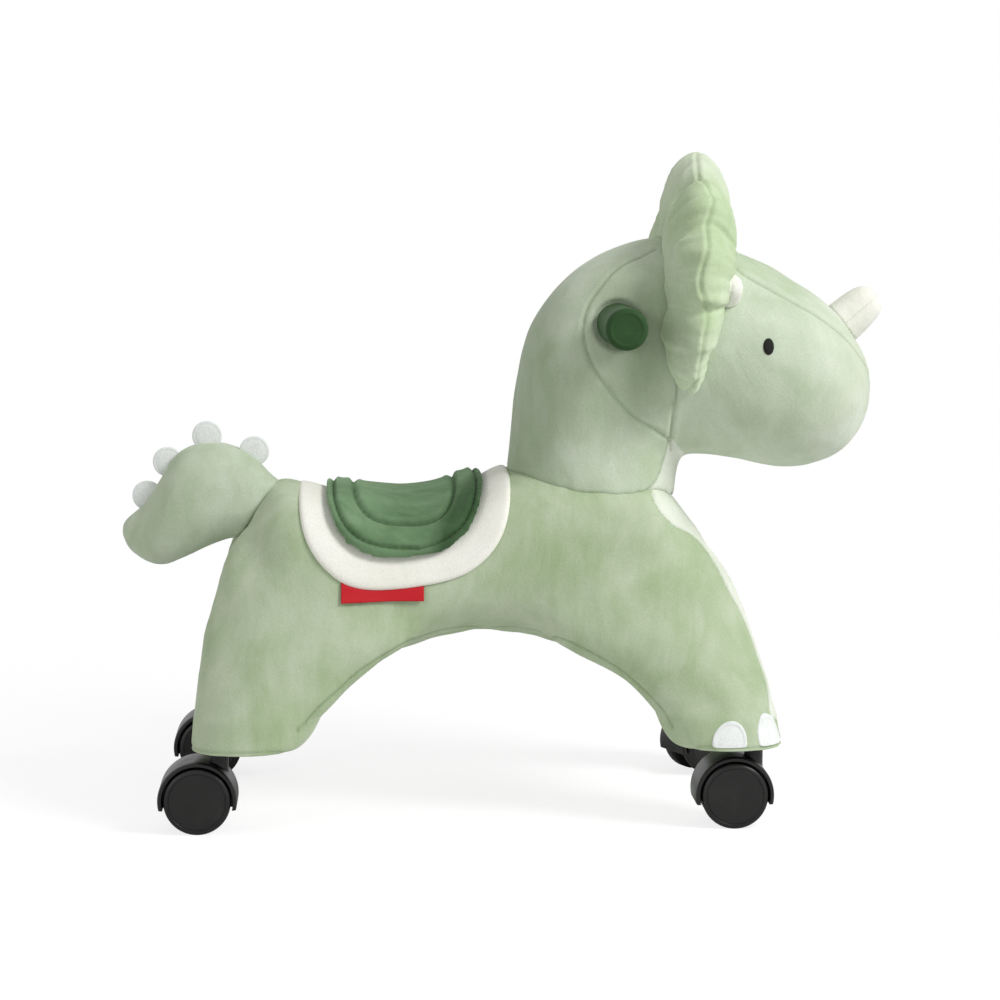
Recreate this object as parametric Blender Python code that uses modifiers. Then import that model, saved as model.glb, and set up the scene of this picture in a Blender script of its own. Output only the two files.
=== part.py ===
"""Plush ride-on dinosaur on four twin-wheel castors, as separate pieces.

A welded tube frame carries the castors, the handlebar and the stuffed body.
Metres, +Z up, +X towards the nose, +Y to the animal's left, origin on the floor.
"""

import math

import bmesh
import bpy
import numpy as np
from mathutils import Matrix, Vector

MM = 0.001

# Clearances and settings shared by all pieces
SEAM_GAP = 0.4 * MM          # between stuffed pieces that touch
FIT_GAP = 0.3 * MM           # between rigid pieces that touch
FOAM_GAP = 0.5 * MM          # between a tube and the foam round it
OVERRUN = 20 * MM            # how far a cutter runs past what it cuts
SINK = 2 * MM                # how deep a sewn-on piece starts before it is cut to its seat
MERGE_DISTANCE = 0.01 * MM
SHARP_EDGE = math.radians(50)
ROUND_SIDES = 24
SMALL_SIDES = 12

# Torso, whose ends set the places of the legs, the neck and the tail
TORSO_REAR_X = -226 * MM
TORSO_LENGTH = 410 * MM
TORSO_HEIGHT = 110 * MM
TORSO_HALF_WIDTH = 86 * MM
# Along the torso from the rump, then belly, back and width as shares of its sizes
TORSO_SHARES = (
    (0.00, 0.16, 0.16, 0.00),
    (0.01, 0.04, 0.29, 0.30),
    (0.03, -0.03, 0.42, 0.49),
    (0.055, -0.05, 0.57, 0.63),
    (0.09, -0.06, 0.79, 0.78),
    (0.135, -0.06, 0.96, 0.91),
    (0.185, -0.05, 0.92, 0.98),
    (0.26, -0.03, 0.82, 1.00),
    (0.355, 0.00, 0.78, 1.00),
    (0.43, 0.00, 0.79, 0.99),
    (0.49, 0.00, 0.87, 0.98),
    (0.55, -0.01, 1.00, 0.95),
    (0.65, -0.03, 1.05, 0.93),
    (0.77, -0.04, 1.02, 0.91),
    (0.855, -0.03, 0.93, 0.84),
    (0.90, -0.01, 0.73, 0.72),
    (0.935, 0.01, 0.56, 0.60),
    (0.96, 0.03, 0.40, 0.48),
    (0.985, 0.06, 0.26, 0.33),
    (1.00, 0.15, 0.15, 0.00),
)
TORSO_SIDES = 20
TORSO_STEPS = 1
BODY_SQUARENESS = 2.25       # 2 is an ellipse, more is squarer

# Wheels and castors
REAR_STEM_INSET = 11 * MM    # rear stems, ahead of the torso's rear
FRONT_STEM_LEAD = 2 * MM     # front stems, ahead of the torso's front
TRACK = 200 * MM             # between the left and right stems
WHEEL_RADIUS = 25 * MM
WHEEL_SIDES = 20
WHEEL_WIDTH = 13 * MM
WHEEL_EDGE = 2 * MM          # rounded edge of the tread
WHEEL_RIM = 3 * MM           # sloping rim round the flat face
WHEEL_SIDE_GAP = 1 * MM
WHEEL_PROUD = 1 * MM         # how far the wheel's face stands out of the hood
AXLE_RADIUS = 3 * MM
AXLE_END_WALL = 2.5 * MM     # plastic left between the axle's end and the wheel's face
WEB_HALF = 7 * MM            # half the thickness of the hood's middle wall
HOOD_GAP = 1.5 * MM
HOOD_WALL = 3 * MM
HOOD_SKIRT = 6.5 * MM        # how far the hood reaches below the axle
HOOD_SIDES = 24
CASTOR_TRAIL = 16 * MM
STEM_RADIUS = 4 * MM
STEM_CHAMFER = 1 * MM
STEM_IN_HOOD = 21 * MM
STEM_IN_FOOT = 21 * MM
COLLAR_WIDTH = 1.5 * MM
COLLAR_HEIGHT = 1.8 * MM
BOSS_WALL = 2.7 * MM
BOSS_RISE = 2.7 * MM
# Name, end, side, and how far the castor has swivelled, in degrees
CORNERS = (
    ("front_left", "front", 1, 24),
    ("front_right", "front", -1, 0),
    ("rear_left", "rear", 1, 0),
    ("rear_right", "rear", -1, 0),
)

# Tube frame
FRAME_WALL = 1.5 * MM        # of every tube and the post
SPINE_RADIUS = 7 * MM
TUBE_BEND = 30 * MM
TUBE_STRAIGHT = 34 * MM      # upright stretch over each foot
TUBE_RESOLUTION = 2
BEND_STEPS = 3
PLUG_WALL = 1.3 * MM         # of the nylon insert, round the stem
PLUG_GAP = 0.9 * MM          # between the insert and the tube's bore
PLUG_DEPTH = 24 * MM
FLANGE_OVERHANG = 0.8 * MM   # of the insert's flange, past the tube
FLANGE_HEIGHT = 2 * MM
POST_CHEEK = 4.2 * MM        # metal left on each side of the handlebar
POST_OVER_BAR = 16 * MM
SPINE_LIFT_SHARE = 0.40      # of the torso's height, over the belly
HOOP_HALF_WIDTH = 45 * MM    # top of each leg hoop
REAR_HOOP_LEAN = 50 * MM     # top of the rear hoop, ahead of its stems
FRONT_HOOP_LEAN = 66 * MM    # top of the front hoop, behind its stems

# Foot plates, set in each foot's underside round the tube's end
PLATE_LENGTH = 56 * MM
PLATE_WIDTH = 46 * MM
PLATE_HEIGHT = 5 * MM
PLATE_CORNER = 12 * MM
PLATE_CORNER_STEPS = 4

# Handlebar
BAR_PLACE_SHARES = (0.614, 0.72)   # along and up the neck
BAR_RADIUS = 8 * MM
BAR_WALL = 1.5 * MM
GRIP_WALL = 7.7 * MM
GRIP_WAIST = 1 * MM
GRIP_EDGE = 4 * MM           # rounding of the outer end
GRIP_END_SHARES = ((1.0, 0.0), (0.33, 0.33), (0.0, 1.0), (0.0, 2.0))   # inward and back
GRIP_SUNK = 20 * MM          # where the grip starts, inside the neck's widest place
GRIP_OUT = 60 * MM           # where it ends, outside it
GRIP_END_WALL = 4 * MM

# Legs, as horizontal rings from the foot up: height over the foot, rear and front edge from
# the foot's middle, inner and outer edge from the stem, as shares of the leg's sizes
LEG_LENGTH = 84 * MM         # from the foot to the belly
LEG_RISE = 118 * MM          # from the foot to the leg's top, beside the torso
LEG_SPAN = 100 * MM          # measure of the leg along the body
LEG_SPREAD = 100 * MM        # measure of the leg across the body
REAR_LEG_LEAD = 16 * MM      # the rear foot's middle, ahead of its stem
FRONT_LEG_LAG = 14 * MM      # the front foot's middle, behind its stem
REAR_LEG_SHARES = (
    (0.00, -0.33, 0.33, -0.29, 0.28),
    (0.04, -0.37, 0.38, -0.33, 0.31),
    (0.12, -0.37, 0.49, -0.37, 0.30),
    (0.24, -0.35, 0.65, -0.42, 0.24),
    (0.41, -0.33, 0.87, -0.49, 0.16),
    (0.54, -0.31, 1.08, -0.55, 0.10),
    (0.66, -0.28, 1.33, -0.62, 0.04),
    (0.83, -0.24, 1.50, -0.71, -0.06),
    (1.00, -0.10, 1.20, -0.78, -0.20),
)
FRONT_LEG_SHARES = (
    (0.00, -0.32, 0.33, -0.29, 0.28),
    (0.04, -0.39, 0.36, -0.33, 0.31),
    (0.12, -0.49, 0.36, -0.37, 0.30),
    (0.24, -0.61, 0.32, -0.42, 0.24),
    (0.41, -0.84, 0.27, -0.49, 0.16),
    (0.54, -1.12, 0.23, -0.55, 0.10),
    (0.66, -1.40, 0.18, -0.62, 0.04),
    (0.83, -1.62, 0.08, -0.71, -0.06),
    (1.00, -1.20, -0.18, -0.78, -0.20),
)
LEG_SIDES = 16
LEG_STEPS = 1

# Neck, as rings from the torso up and over to the back of the face:
# throat edge along and up, nape edge along and up, and width
NECK_SETBACK = 184 * MM      # the neck's rear, behind the torso's front
NECK_LENGTH = 140 * MM
NECK_RISE = 226 * MM
NECK_HALF_WIDTH = 72 * MM
NECK_ROOT_LIFT_SHARE = 0.60  # of the torso's height, over the belly
NECK_SHARES = (
    (0.936, 0.022, -0.014, 0.053, 0.97),
    (0.957, 0.133, 0.029, 0.195, 0.96),
    (0.971, 0.199, 0.064, 0.354, 0.92),
    (0.982, 0.230, 0.100, 0.531, 0.91),
    (0.989, 0.246, 0.164, 0.699, 0.93),
    (0.995, 0.254, 0.314, 0.836, 0.96),
    (0.998, 0.258, 0.557, 0.947, 0.99),
    (0.999, 0.261, 0.814, 1.000, 1.00),
    (1.000, 0.263, 1.000, 0.996, 1.00),
)
NECK_SIDES = 18
NECK_STEPS = 2

# Head, as upright rings from the neck seam to the nose:
# place along, chin, crown and width
HEAD_LENGTH = 146 * MM
HEAD_HEIGHT = 177 * MM       # from the chin's lowest point to the crown
HEAD_HALF_WIDTH = 78 * MM
HEAD_SHARES = (
    (0.00, 0.06, 1.00, 0.93),
    (0.14, 0.055, 0.98, 0.98),
    (0.29, 0.035, 0.94, 1.00),
    (0.445, 0.007, 0.885, 0.985),
    (0.58, 0.00, 0.82, 0.95),
    (0.72, 0.02, 0.745, 0.87),
    (0.82, 0.055, 0.67, 0.77),
    (0.905, 0.12, 0.585, 0.62),
    (0.965, 0.21, 0.505, 0.43),
    (0.99, 0.28, 0.45, 0.27),
    (1.00, 0.37, 0.37, 0.00),
)
HEAD_SIDES = 18
HEAD_STEPS = 2

# Frill: a stuffed fan of seven lobes behind the face
FRILL_LEAD = 5 * MM          # its middle, ahead of the back of the face
FRILL_RADIUS = 114 * MM
FRILL_ROOT_RADIUS = 52 * MM
FRILL_HALF_THICKNESS = 27 * MM
FRILL_LIFT_SHARE = 0.733     # of the head's height, over the chin
FRILL_LEAN = math.radians(4)      # top towards the nose
FRILL_LOBES = 7
FRILL_START = math.radians(-40)   # where the lowest lobe ends
FRILL_NOTCH_SHARE = 0.13     # depth of the notch between two lobes
LOBE_ROUNDNESS = 0.6         # 1 is a sine's arch, less is fuller
LOBE_STEPS = 4
FRILL_ROOT_STEPS = 6
FRILL_RING_SHARES = (0.0, 0.5, 0.72, 0.86, 0.95, 1.0)
FRILL_SWELL_SHARES = (1.0, 1.0, 0.86, 0.66, 0.40, 0.0)

# Horns, as turned profiles from the tip down: place along the horn and radius
NOSE_HORN_LENGTH = 49.5 * MM
NOSE_HORN_RADIUS = 16.5 * MM
NOSE_HORN_ANGLE = math.radians(45)     # over the horizontal
NOSE_HORN_ROOT_SHARES = (0.79, 0.575)  # along and up the head
BROW_HORN_LENGTH = 46 * MM
BROW_HORN_RADIUS = 13 * MM
BROW_HORN_ROOT_SHARES = (0.17, 0.70, 0.62)   # along, up and across the head
BROW_HORN_DIRECTION = Vector((0.30, 0.80, 0.42))
HORN_SHARES = (
    (1.00, 0.00),
    (0.97, 0.32),
    (0.86, 0.62),
    (0.62, 0.86),
    (0.35, 1.00),
    (0.00, 1.00),
    (0.00, 0.00),
)
HORN_SIDES = 14

# Tail, as rings from the tip in to the rump:
# lower edge along and up, upper edge along and up, and width
TAIL_INSET = 61 * MM         # the tail's root, ahead of the torso's rear
TAIL_LENGTH = 128 * MM
TAIL_RISE = 94 * MM
TAIL_LIFT_SHARE = 0.375      # of the torso's height, over the belly, at the tail's underside
TAIL_HALF_WIDTH = 32 * MM
TAIL_SHARES = (
    (1.000, 0.260, 1.000, 0.260, 0.00),
    (0.968, 0.165, 0.988, 0.335, 0.26),
    (0.905, 0.074, 0.937, 0.410, 0.46),
    (0.830, 0.016, 0.862, 0.495, 0.66),
    (0.748, 0.000, 0.768, 0.686, 0.84),
    (0.661, 0.037, 0.650, 0.920, 0.96),
    (0.575, 0.090, 0.500, 1.000, 1.00),
    (0.480, 0.154, 0.339, 0.984, 0.98),
    (0.386, 0.202, 0.197, 0.878, 0.92),
    (0.315, 0.218, 0.071, 0.707, 0.85),
    (0.260, 0.186, 0.000, 0.654, 0.80),
)
TAIL_SIDES = 16
TAIL_STEPS = 1
SPIKE_RADIUS = 11.5 * MM
SPIKE_THICKNESS = 4 * MM
SPIKE_EDGE = 1.2 * MM
# Middle of each spike, along and up the tail
SPIKE_SHARES = ((0.843, 0.569), (0.717, 0.846), (0.480, 1.058), (0.197, 0.931))

# Saddle blanket and seat pad, laid over the torso. Each outline is a rounded rectangle
# of place along the torso and angle from the ridge of the back.
BLANKET_REAR_INSET = 70.5 * MM    # its rear edge, ahead of the torso's rear
BLANKET_NECK_LAP = 4.5 * MM  # its front edge, ahead of the neck's rear
BLANKET_ANGLE = math.radians(98)       # down each side
BLANKET_THICKNESS = 3.5 * MM
BLANKET_ROUNDNESS = 3.4
PAD_MARGIN = 20 * MM         # from the blanket's ends
PAD_ANGLE = math.radians(74)
PAD_THICKNESS = 12 * MM
PAD_ROUNDNESS = 3.0
SADDLE_STEPS = 32
HEM_RING_SHARES = (0.34, 0.67, 1.0)
HEM_SWELL_SHARES = (1.0, 1.0, 1.0)
# The pad's sewn channels are dips in its thickness, from the middle out
PAD_RING_SHARES = (0.25, 0.50, 0.60, 0.65, 0.71, 0.80, 0.87, 0.91, 0.96, 1.0)
PAD_SWELL_SHARES = (0.98, 0.98, 0.86, 0.52, 0.88, 0.92, 0.76, 0.42, 0.58, 0.26)

# Small sewn pieces
TAG_LENGTH = 62 * MM
TAG_DROP = 18 * MM
TAG_LAP = 5 * MM             # how far it starts over the blanket's hem
TAG_THICKNESS = 1.2 * MM
TAG_LAG = 16.5 * MM          # the tag's middle, behind the saddle's
EYE_HALF_LENGTH = 4.2 * MM
EYE_HALF_HEIGHT = 6 * MM
EYE_THICKNESS = 1.2 * MM
EYE_PLACE_SHARES = (0.405, 0.548)      # along and up the head
EYE_STEPS = 12
NAIL_HALF_WIDTH = 12.5 * MM
NAIL_HEIGHT = 21 * MM
NAIL_THICKNESS = 1.4 * MM
NAIL_FOOT_GAP = 1 * MM
NAIL_ANGLES = (("outer", 84), ("middle", 142), ("inner", 200))   # degrees from the rear
NAIL_FLAT_SHARE = 0.35       # of the nail's half width, from its middle down to its flat foot
NAIL_STEPS = 14
PATCH_RING_SHARES = (0.5, 0.85, 1.0)
PATCH_SWELL_SHARES = (1.0, 0.9, 0.4)

# How finely a form's skin is searched for a place, and felt for its slope
SEARCH_STEPS = 400
SLOPE_STEP_SHARE = 0.001

# Radii that follow from what goes into each piece
BOSS_RADIUS = STEM_RADIUS + FIT_GAP + BOSS_WALL
COLLAR_RADIUS = STEM_RADIUS + COLLAR_WIDTH
HOOD_RADIUS = WHEEL_RADIUS + HOOD_GAP + HOOD_WALL
WHEEL_FACE_Y = WEB_HALF + WHEEL_SIDE_GAP + WHEEL_WIDTH
HOOD_HALF_WIDTH = WHEEL_FACE_Y - WHEEL_PROUD
PLUG_RADIUS = STEM_RADIUS + FIT_GAP + PLUG_WALL
TUBE_RADIUS = PLUG_RADIUS + PLUG_GAP + FRAME_WALL
FLANGE_RADIUS = TUBE_RADIUS + FLANGE_OVERHANG
POST_RADIUS = BAR_RADIUS + FIT_GAP + POST_CHEEK
GRIP_RADIUS = BAR_RADIUS + FIT_GAP + GRIP_WALL
GRIP_ROOT_Y = NECK_HALF_WIDTH - GRIP_SUNK
GRIP_REACH = NECK_HALF_WIDTH + GRIP_OUT

# Heights that stack up from the floor
AXLE_Z = WHEEL_RADIUS * math.cos(math.pi / WHEEL_SIDES)
BOSS_TOP_Z = AXLE_Z + HOOD_RADIUS + BOSS_RISE
COLLAR_Z = BOSS_TOP_Z + FIT_GAP
FLANGE_Z = COLLAR_Z + COLLAR_HEIGHT + FIT_GAP
FOOT_Z = FLANGE_Z + FLANGE_HEIGHT + FIT_GAP
BELLY_Z = FOOT_Z + LEG_LENGTH
SPINE_Z = BELLY_Z + SPINE_LIFT_SHARE * TORSO_HEIGHT
NECK_ROOT_Z = BELLY_Z + NECK_ROOT_LIFT_SHARE * TORSO_HEIGHT
BAR_Z = NECK_ROOT_Z + BAR_PLACE_SHARES[1] * NECK_RISE
CHIN_Z = NECK_ROOT_Z + NECK_SHARES[-1][1] * NECK_RISE - HEAD_SHARES[0][1] * HEAD_HEIGHT
FRILL_Z = CHIN_Z + FRILL_LIFT_SHARE * HEAD_HEIGHT
TAIL_Z = BELLY_Z + TAIL_LIFT_SHARE * TORSO_HEIGHT

# Places along the body
TORSO_FRONT_X = TORSO_REAR_X + TORSO_LENGTH
REAR_STEM_X = TORSO_REAR_X + REAR_STEM_INSET
FRONT_STEM_X = TORSO_FRONT_X + FRONT_STEM_LEAD
REAR_LEG_X = REAR_STEM_X + REAR_LEG_LEAD
FRONT_LEG_X = FRONT_STEM_X - FRONT_LEG_LAG
REAR_HOOP_X = REAR_STEM_X + REAR_HOOP_LEAN
FRONT_HOOP_X = FRONT_STEM_X - FRONT_HOOP_LEAN
NECK_X = TORSO_FRONT_X - NECK_SETBACK
BAR_X = NECK_X + BAR_PLACE_SHARES[0] * NECK_LENGTH
HEAD_X = NECK_X + NECK_LENGTH
FRILL_X = HEAD_X + FRILL_LEAD
TAIL_X = TORSO_REAR_X + TAIL_INSET
BLANKET_REAR_X = TORSO_REAR_X + BLANKET_REAR_INSET
BLANKET_FRONT_X = NECK_X + BLANKET_NECK_LAP
SADDLE_X = (BLANKET_REAR_X + BLANKET_FRONT_X) / 2
BLANKET_HALF_LENGTH = (BLANKET_FRONT_X - BLANKET_REAR_X) / 2
PAD_HALF_LENGTH = BLANKET_HALF_LENGTH - PAD_MARGIN
TAG_X = SADDLE_X - TAG_LAG
STEM_XS = {"rear": REAR_STEM_X, "front": FRONT_STEM_X}


# Scene and materials

for old in list(bpy.data.objects):
    bpy.data.objects.remove(old)

PARTS = bpy.data.collections.new("plush_ride_on")
CUTTERS = bpy.data.collections.new("cutters")
for group in (PARTS, CUTTERS):
    bpy.context.scene.collection.children.link(group)


def material(name, colour, roughness, metallic=0.0):
    made = bpy.data.materials.new(name)
    made.use_nodes = True
    shader = made.node_tree.nodes["Principled BSDF"]
    shader.inputs["Base Color"].default_value = (*colour, 1.0)
    shader.inputs["Roughness"].default_value = roughness
    shader.inputs["Metallic"].default_value = metallic
    return made


GREEN_PLUSH = material("green_plush", (0.46, 0.55, 0.38), 0.95)
CREAM_PLUSH = material("cream_plush", (0.84, 0.83, 0.75), 0.95)
WHITE_FELT = material("white_felt", (0.74, 0.77, 0.76), 0.95)
SADDLE_VELOUR = material("saddle_velour", (0.10, 0.21, 0.09), 0.9)
RED_RIBBON = material("red_ribbon", (0.62, 0.03, 0.05), 0.7)
EYE_THREAD = material("eye_thread", (0.02, 0.03, 0.02), 0.6)
BLACK_NYLON = material("black_nylon", (0.022, 0.022, 0.021), 0.5)
GRIP_PLASTIC = material("grip_plastic", (0.04, 0.09, 0.045), 0.45)
STEEL = material("steel", (0.56, 0.57, 0.58), 0.35, 1.0)


# Helpers that make and cut solids

def add_object(name, mesh, look=None, parent=None, place=(0, 0, 0), turn=0.0):
    """Puts a mesh into the scene, in the parts' collection if it has a material."""
    made = bpy.data.objects.new(name, mesh)
    if look is None:
        CUTTERS.objects.link(made)
        made.hide_render = True
        made.display_type = "WIRE"
    else:
        PARTS.objects.link(made)
        mesh.materials.clear()
        mesh.materials.append(look)
    made.parent = parent
    made.location = place
    made.rotation_euler.z = turn
    return made


def smoothed(mesh):
    """Shades a mesh smooth, apart from its hard edges."""
    mesh.shade_smooth()
    mesh.set_sharp_from_angle(angle=SHARP_EDGE)
    return mesh


def mesh_of(name, points, faces):
    """A closed mesh with its faces turned outwards."""
    mesh = bpy.data.meshes.new(name)
    mesh.from_pydata([tuple(p) for p in points], [], faces)
    work = bmesh.new()
    work.from_mesh(mesh)
    bmesh.ops.recalc_face_normals(work, faces=work.faces)
    work.to_mesh(mesh)
    work.free()
    return smoothed(mesh)


def rings_mesh(name, rings):
    """Joins rings of equal count into a closed skin. A ring of one point is a pole."""
    points = []
    starts = []
    for ring in rings:
        starts.append(len(points))
        points.extend(ring)
    faces = []
    for (a, ring_a), (b, ring_b) in zip(zip(starts, rings), zip(starts[1:], rings[1:])):
        count = max(len(ring_a), len(ring_b))
        for i in range(count):
            j = (i + 1) % count
            if len(ring_a) == 1:
                faces.append((a, b + i, b + j))
            elif len(ring_b) == 1:
                faces.append((a + i, a + j, b))
            else:
                faces.append((a + i, a + j, b + j))
                faces.append((a + i, b + j, b + i))
    for start, ring in ((starts[0], rings[0]), (starts[-1], rings[-1])):
        if len(ring) > 1:
            faces.append(tuple(start + i for i in range(len(ring))))
    return mesh_of(name, points, faces)


def add_boolean(target, tool, operation="DIFFERENCE"):
    cut = target.modifiers.new(operation.lower(), "BOOLEAN")
    cut.operation = operation
    cut.object = tool
    cut.solver = "EXACT"
    return target


def settled_mesh(source):
    """The mesh that an object's modifiers make. The object is removed."""
    bpy.context.view_layer.update()
    graph = bpy.context.evaluated_depsgraph_get()
    mesh = bpy.data.meshes.new_from_object(source.evaluated_get(graph))
    mesh.name = source.name
    bpy.data.objects.remove(source)
    return mesh


def cylinder(name, radius, low, high, centre=(0, 0), sides=ROUND_SIDES, axis="Z"):
    """A closed cylinder between two places along an axis, in the cutters' collection."""
    work = bmesh.new()
    bmesh.ops.create_cone(
        work, cap_ends=True, segments=sides, radius1=radius, radius2=radius, depth=high - low
    )
    bmesh.ops.rotate(work, verts=work.verts, matrix=Matrix.Rotation(math.pi / sides, 3, "Z"))
    if axis == "Y":
        bmesh.ops.rotate(work, verts=work.verts, matrix=Matrix.Rotation(-math.pi / 2, 3, "X"))
        offset = Vector((centre[0], (low + high) / 2, centre[1]))
    else:
        offset = Vector((centre[0], centre[1], (low + high) / 2))
    bmesh.ops.translate(work, verts=work.verts, vec=offset)
    mesh = bpy.data.meshes.new(name)
    work.to_mesh(mesh)
    work.free()
    return add_object(name, smoothed(mesh))


def block(name, low, high):
    """A box cutter between two corners."""
    work = bmesh.new()
    bmesh.ops.create_cube(work, size=1.0)
    size = Vector(high) - Vector(low)
    bmesh.ops.scale(work, verts=work.verts, vec=size)
    bmesh.ops.translate(work, verts=work.verts, vec=(Vector(low) + Vector(high)) / 2)
    mesh = bpy.data.meshes.new(name)
    work.to_mesh(mesh)
    work.free()
    return add_object(name, mesh)


def turned_mesh(name, profile, sides):
    """Turns (radius, height) points about Z, from the top's middle down to the bottom's."""
    outline = bpy.data.meshes.new(name)
    points = [(radius, 0, height) for radius, height in profile]
    outline.from_pydata(points, [(i, i + 1) for i in range(len(points) - 1)], [])
    blank = add_object(name, outline)
    screw = blank.modifiers.new("turn", "SCREW")
    screw.axis = "Z"
    screw.steps = screw.render_steps = sides
    screw.use_merge_vertices = True
    screw.merge_threshold = MERGE_DISTANCE
    return smoothed(settled_mesh(blank))


def laid_over(mesh, sides):
    """Lays a turned mesh from Z onto +Y, with a flat facing down."""
    half_step = Matrix.Rotation(math.pi / sides, 4, "Z")
    mesh.transform(Matrix.Rotation(-math.pi / 2, 4, "X") @ half_step)
    return mesh


def rounded_path(corners, bend):
    """Straight runs joined by arcs of one radius."""
    points = [Vector(corners[0])]
    for before, corner, after in zip(corners, corners[1:], corners[2:]):
        corner = Vector(corner)
        to_before = (Vector(before) - corner).normalized()
        to_after = (Vector(after) - corner).normalized()
        half = to_before.angle(to_after) / 2
        middle = corner + (to_before + to_after).normalized() * (bend / math.sin(half))
        start = corner + to_before * (bend / math.tan(half))
        arm = start - middle
        axis = to_before.cross(to_after).normalized()
        turn = -(math.pi - 2 * half)
        for i in range(BEND_STEPS + 1):
            points.append(middle + Matrix.Rotation(turn * i / BEND_STEPS, 3, axis) @ arm)
    points.append(Vector(corners[-1]))
    return points


def tube(name, points, radius):
    """A round bar along a path, as a closed mesh in the cutters' collection."""
    curve = bpy.data.curves.new(name, "CURVE")
    curve.dimensions = "3D"
    curve.bevel_depth = radius
    curve.bevel_resolution = TUBE_RESOLUTION
    curve.use_fill_caps = True
    spline = curve.splines.new("POLY")
    spline.points.add(len(points) - 1)
    for knot, point in zip(spline.points, points):
        knot.co = (*point, 1)
    holder = add_object(name + "_path", curve)
    mesh = settled_mesh(holder)
    work = bmesh.new()
    work.from_mesh(mesh)
    bmesh.ops.remove_doubles(work, verts=work.verts, dist=MERGE_DISTANCE)
    bmesh.ops.recalc_face_normals(work, faces=work.faces)
    work.to_mesh(mesh)
    work.free()
    return add_object(name, mesh)


def oval(angle, squareness):
    """Cosine and sine on an oval that is squarer than an ellipse above 2."""
    return [
        math.copysign(abs(value) ** (2 / squareness), value)
        for value in (math.cos(angle), math.sin(angle))
    ]


class Loft:
    """A stuffed form: oval rings along a path in an upright plane.

    Each row is a ring: x and z of its lower or front edge, x and z of its upper or rear
    edge, y of its middle, and its half width.
    """

    def __init__(self, rows, sides, steps):
        self.rows = np.array(rows, float)
        self.sides = sides
        middles = (self.rows[:, 0:2] + self.rows[:, 2:4]) / 2
        gaps = np.linalg.norm(np.diff(middles, axis=0), axis=1)
        self.knots = np.concatenate(([0.0], np.cumsum(gaps)))
        self.slopes = np.gradient(self.rows, self.knots, axis=0)
        self.places = []
        for start, end in zip(self.knots, self.knots[1:]):
            self.places.extend(start + (end - start) * i / steps for i in range(steps))
        self.places.append(self.knots[-1])

    def row_at(self, place):
        """The row at a distance along the path, by a smooth curve through the rows."""
        i = int(np.clip(np.searchsorted(self.knots, place) - 1, 0, len(self.knots) - 2))
        span = self.knots[i + 1] - self.knots[i]
        u = (place - self.knots[i]) / span
        return (
            (2 * u**3 - 3 * u**2 + 1) * self.rows[i]
            + (u**3 - 2 * u**2 + u) * span * self.slopes[i]
            + (3 * u**2 - 2 * u**3) * self.rows[i + 1]
            + (u**3 - u**2) * span * self.slopes[i + 1]
        )

    def ring_at(self, place):
        """A ring's middle, half depth as a vector, half width, and facing."""
        low_x, low_z, high_x, high_z, y, width = self.row_at(place)
        middle = Vector(((low_x + high_x) / 2, y, (low_z + high_z) / 2))
        depth = Vector(((high_x - low_x) / 2, 0, (high_z - low_z) / 2))
        facing = Vector((depth.z, 0, -depth.x)).normalized()
        return middle, depth, width, facing

    def place_at(self, value, axis):
        """How far along the path a ring's middle reaches a value of x (0) or z (2)."""
        fine = np.linspace(self.knots[0], self.knots[-1], SEARCH_STEPS)
        found = np.array([self.ring_at(p)[0][axis] for p in fine])
        order = np.argsort(found)
        return float(np.interp(value, found[order], fine[order]))

    def skin(self, place, angle):
        """The point at a distance along the path and an angle from the upper edge."""
        middle, depth, width, _ = self.ring_at(place)
        up, across = oval(angle, BODY_SQUARENESS)
        return middle + depth * up + Vector((0, width * across, 0))

    def outward(self, place, angle):
        """The skin's outward direction, from its slope both ways."""
        step = (self.knots[-1] - self.knots[0]) * SLOPE_STEP_SHARE
        low = max(place - step, self.knots[0])
        high = min(place + step, self.knots[-1])
        along = self.skin(high, angle) - self.skin(low, angle)
        turn = math.pi * SLOPE_STEP_SHARE
        around = self.skin(place, angle + turn) - self.skin(place, angle - turn)
        return along.cross(around).normalized()

    def point(self, place, angle, out=0.0):
        return self.skin(place, angle) + self.outward(place, angle) * out

    def mesh(self, name, out=0.0):
        """The closed skin, grown outwards by a distance."""
        rings = []
        ends = {self.places[0]: -1, self.places[-1]: 1}
        for place in self.places:
            middle, depth, width, facing = self.ring_at(place)
            shift = facing * out * ends.get(place, 0)
            if width < MERGE_DISTANCE:
                before = self.ring_at(self.places[1])[0] - middle
                after = middle - self.ring_at(self.places[-2])[0]
                ahead = -before if place == self.places[0] else after
                rings.append([middle + ahead.normalized() * out])
                continue
            angles = [2 * math.pi * i / self.sides for i in range(self.sides)]
            rings.append([self.point(place, a, out) + shift for a in angles])
        return rings_mesh(name, rings)

    def cutter(self, name):
        """The form grown by the seam gap, which cuts its neighbours."""
        return add_object(name + "_seat", self.mesh(name + "_seat", SEAM_GAP))


def sewn_patch(
    name, form, centre, outline, ring_shares, swell_shares, thickness, base=0.0, sink=SINK
):
    """A padded patch on a form: closed, crowned outwards, and sunk below for its seat.

    The outline is a list of (place along, angle), and its rings shrink to the centre.
    """
    def ring(share, out):
        found = []
        for place, angle in outline:
            along = centre[0] + (place - centre[0]) * share
            around = centre[1] + (angle - centre[1]) * share
            found.append(form.point(along, around, out))
        return found

    top = [[form.point(*centre, base + thickness * swell_shares[0])]]
    top += [ring(s, base + thickness * h) for s, h in zip(ring_shares, swell_shares)]
    bottom = [ring(s, base - sink) for s in (ring_shares[-1], ring_shares[len(ring_shares) // 2])]
    bottom.append([form.point(*centre, base - sink)])
    return rings_mesh(name, top + bottom)


# Castors: each is a hood that swivels on its stem, an axle, and two wheels

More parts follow.
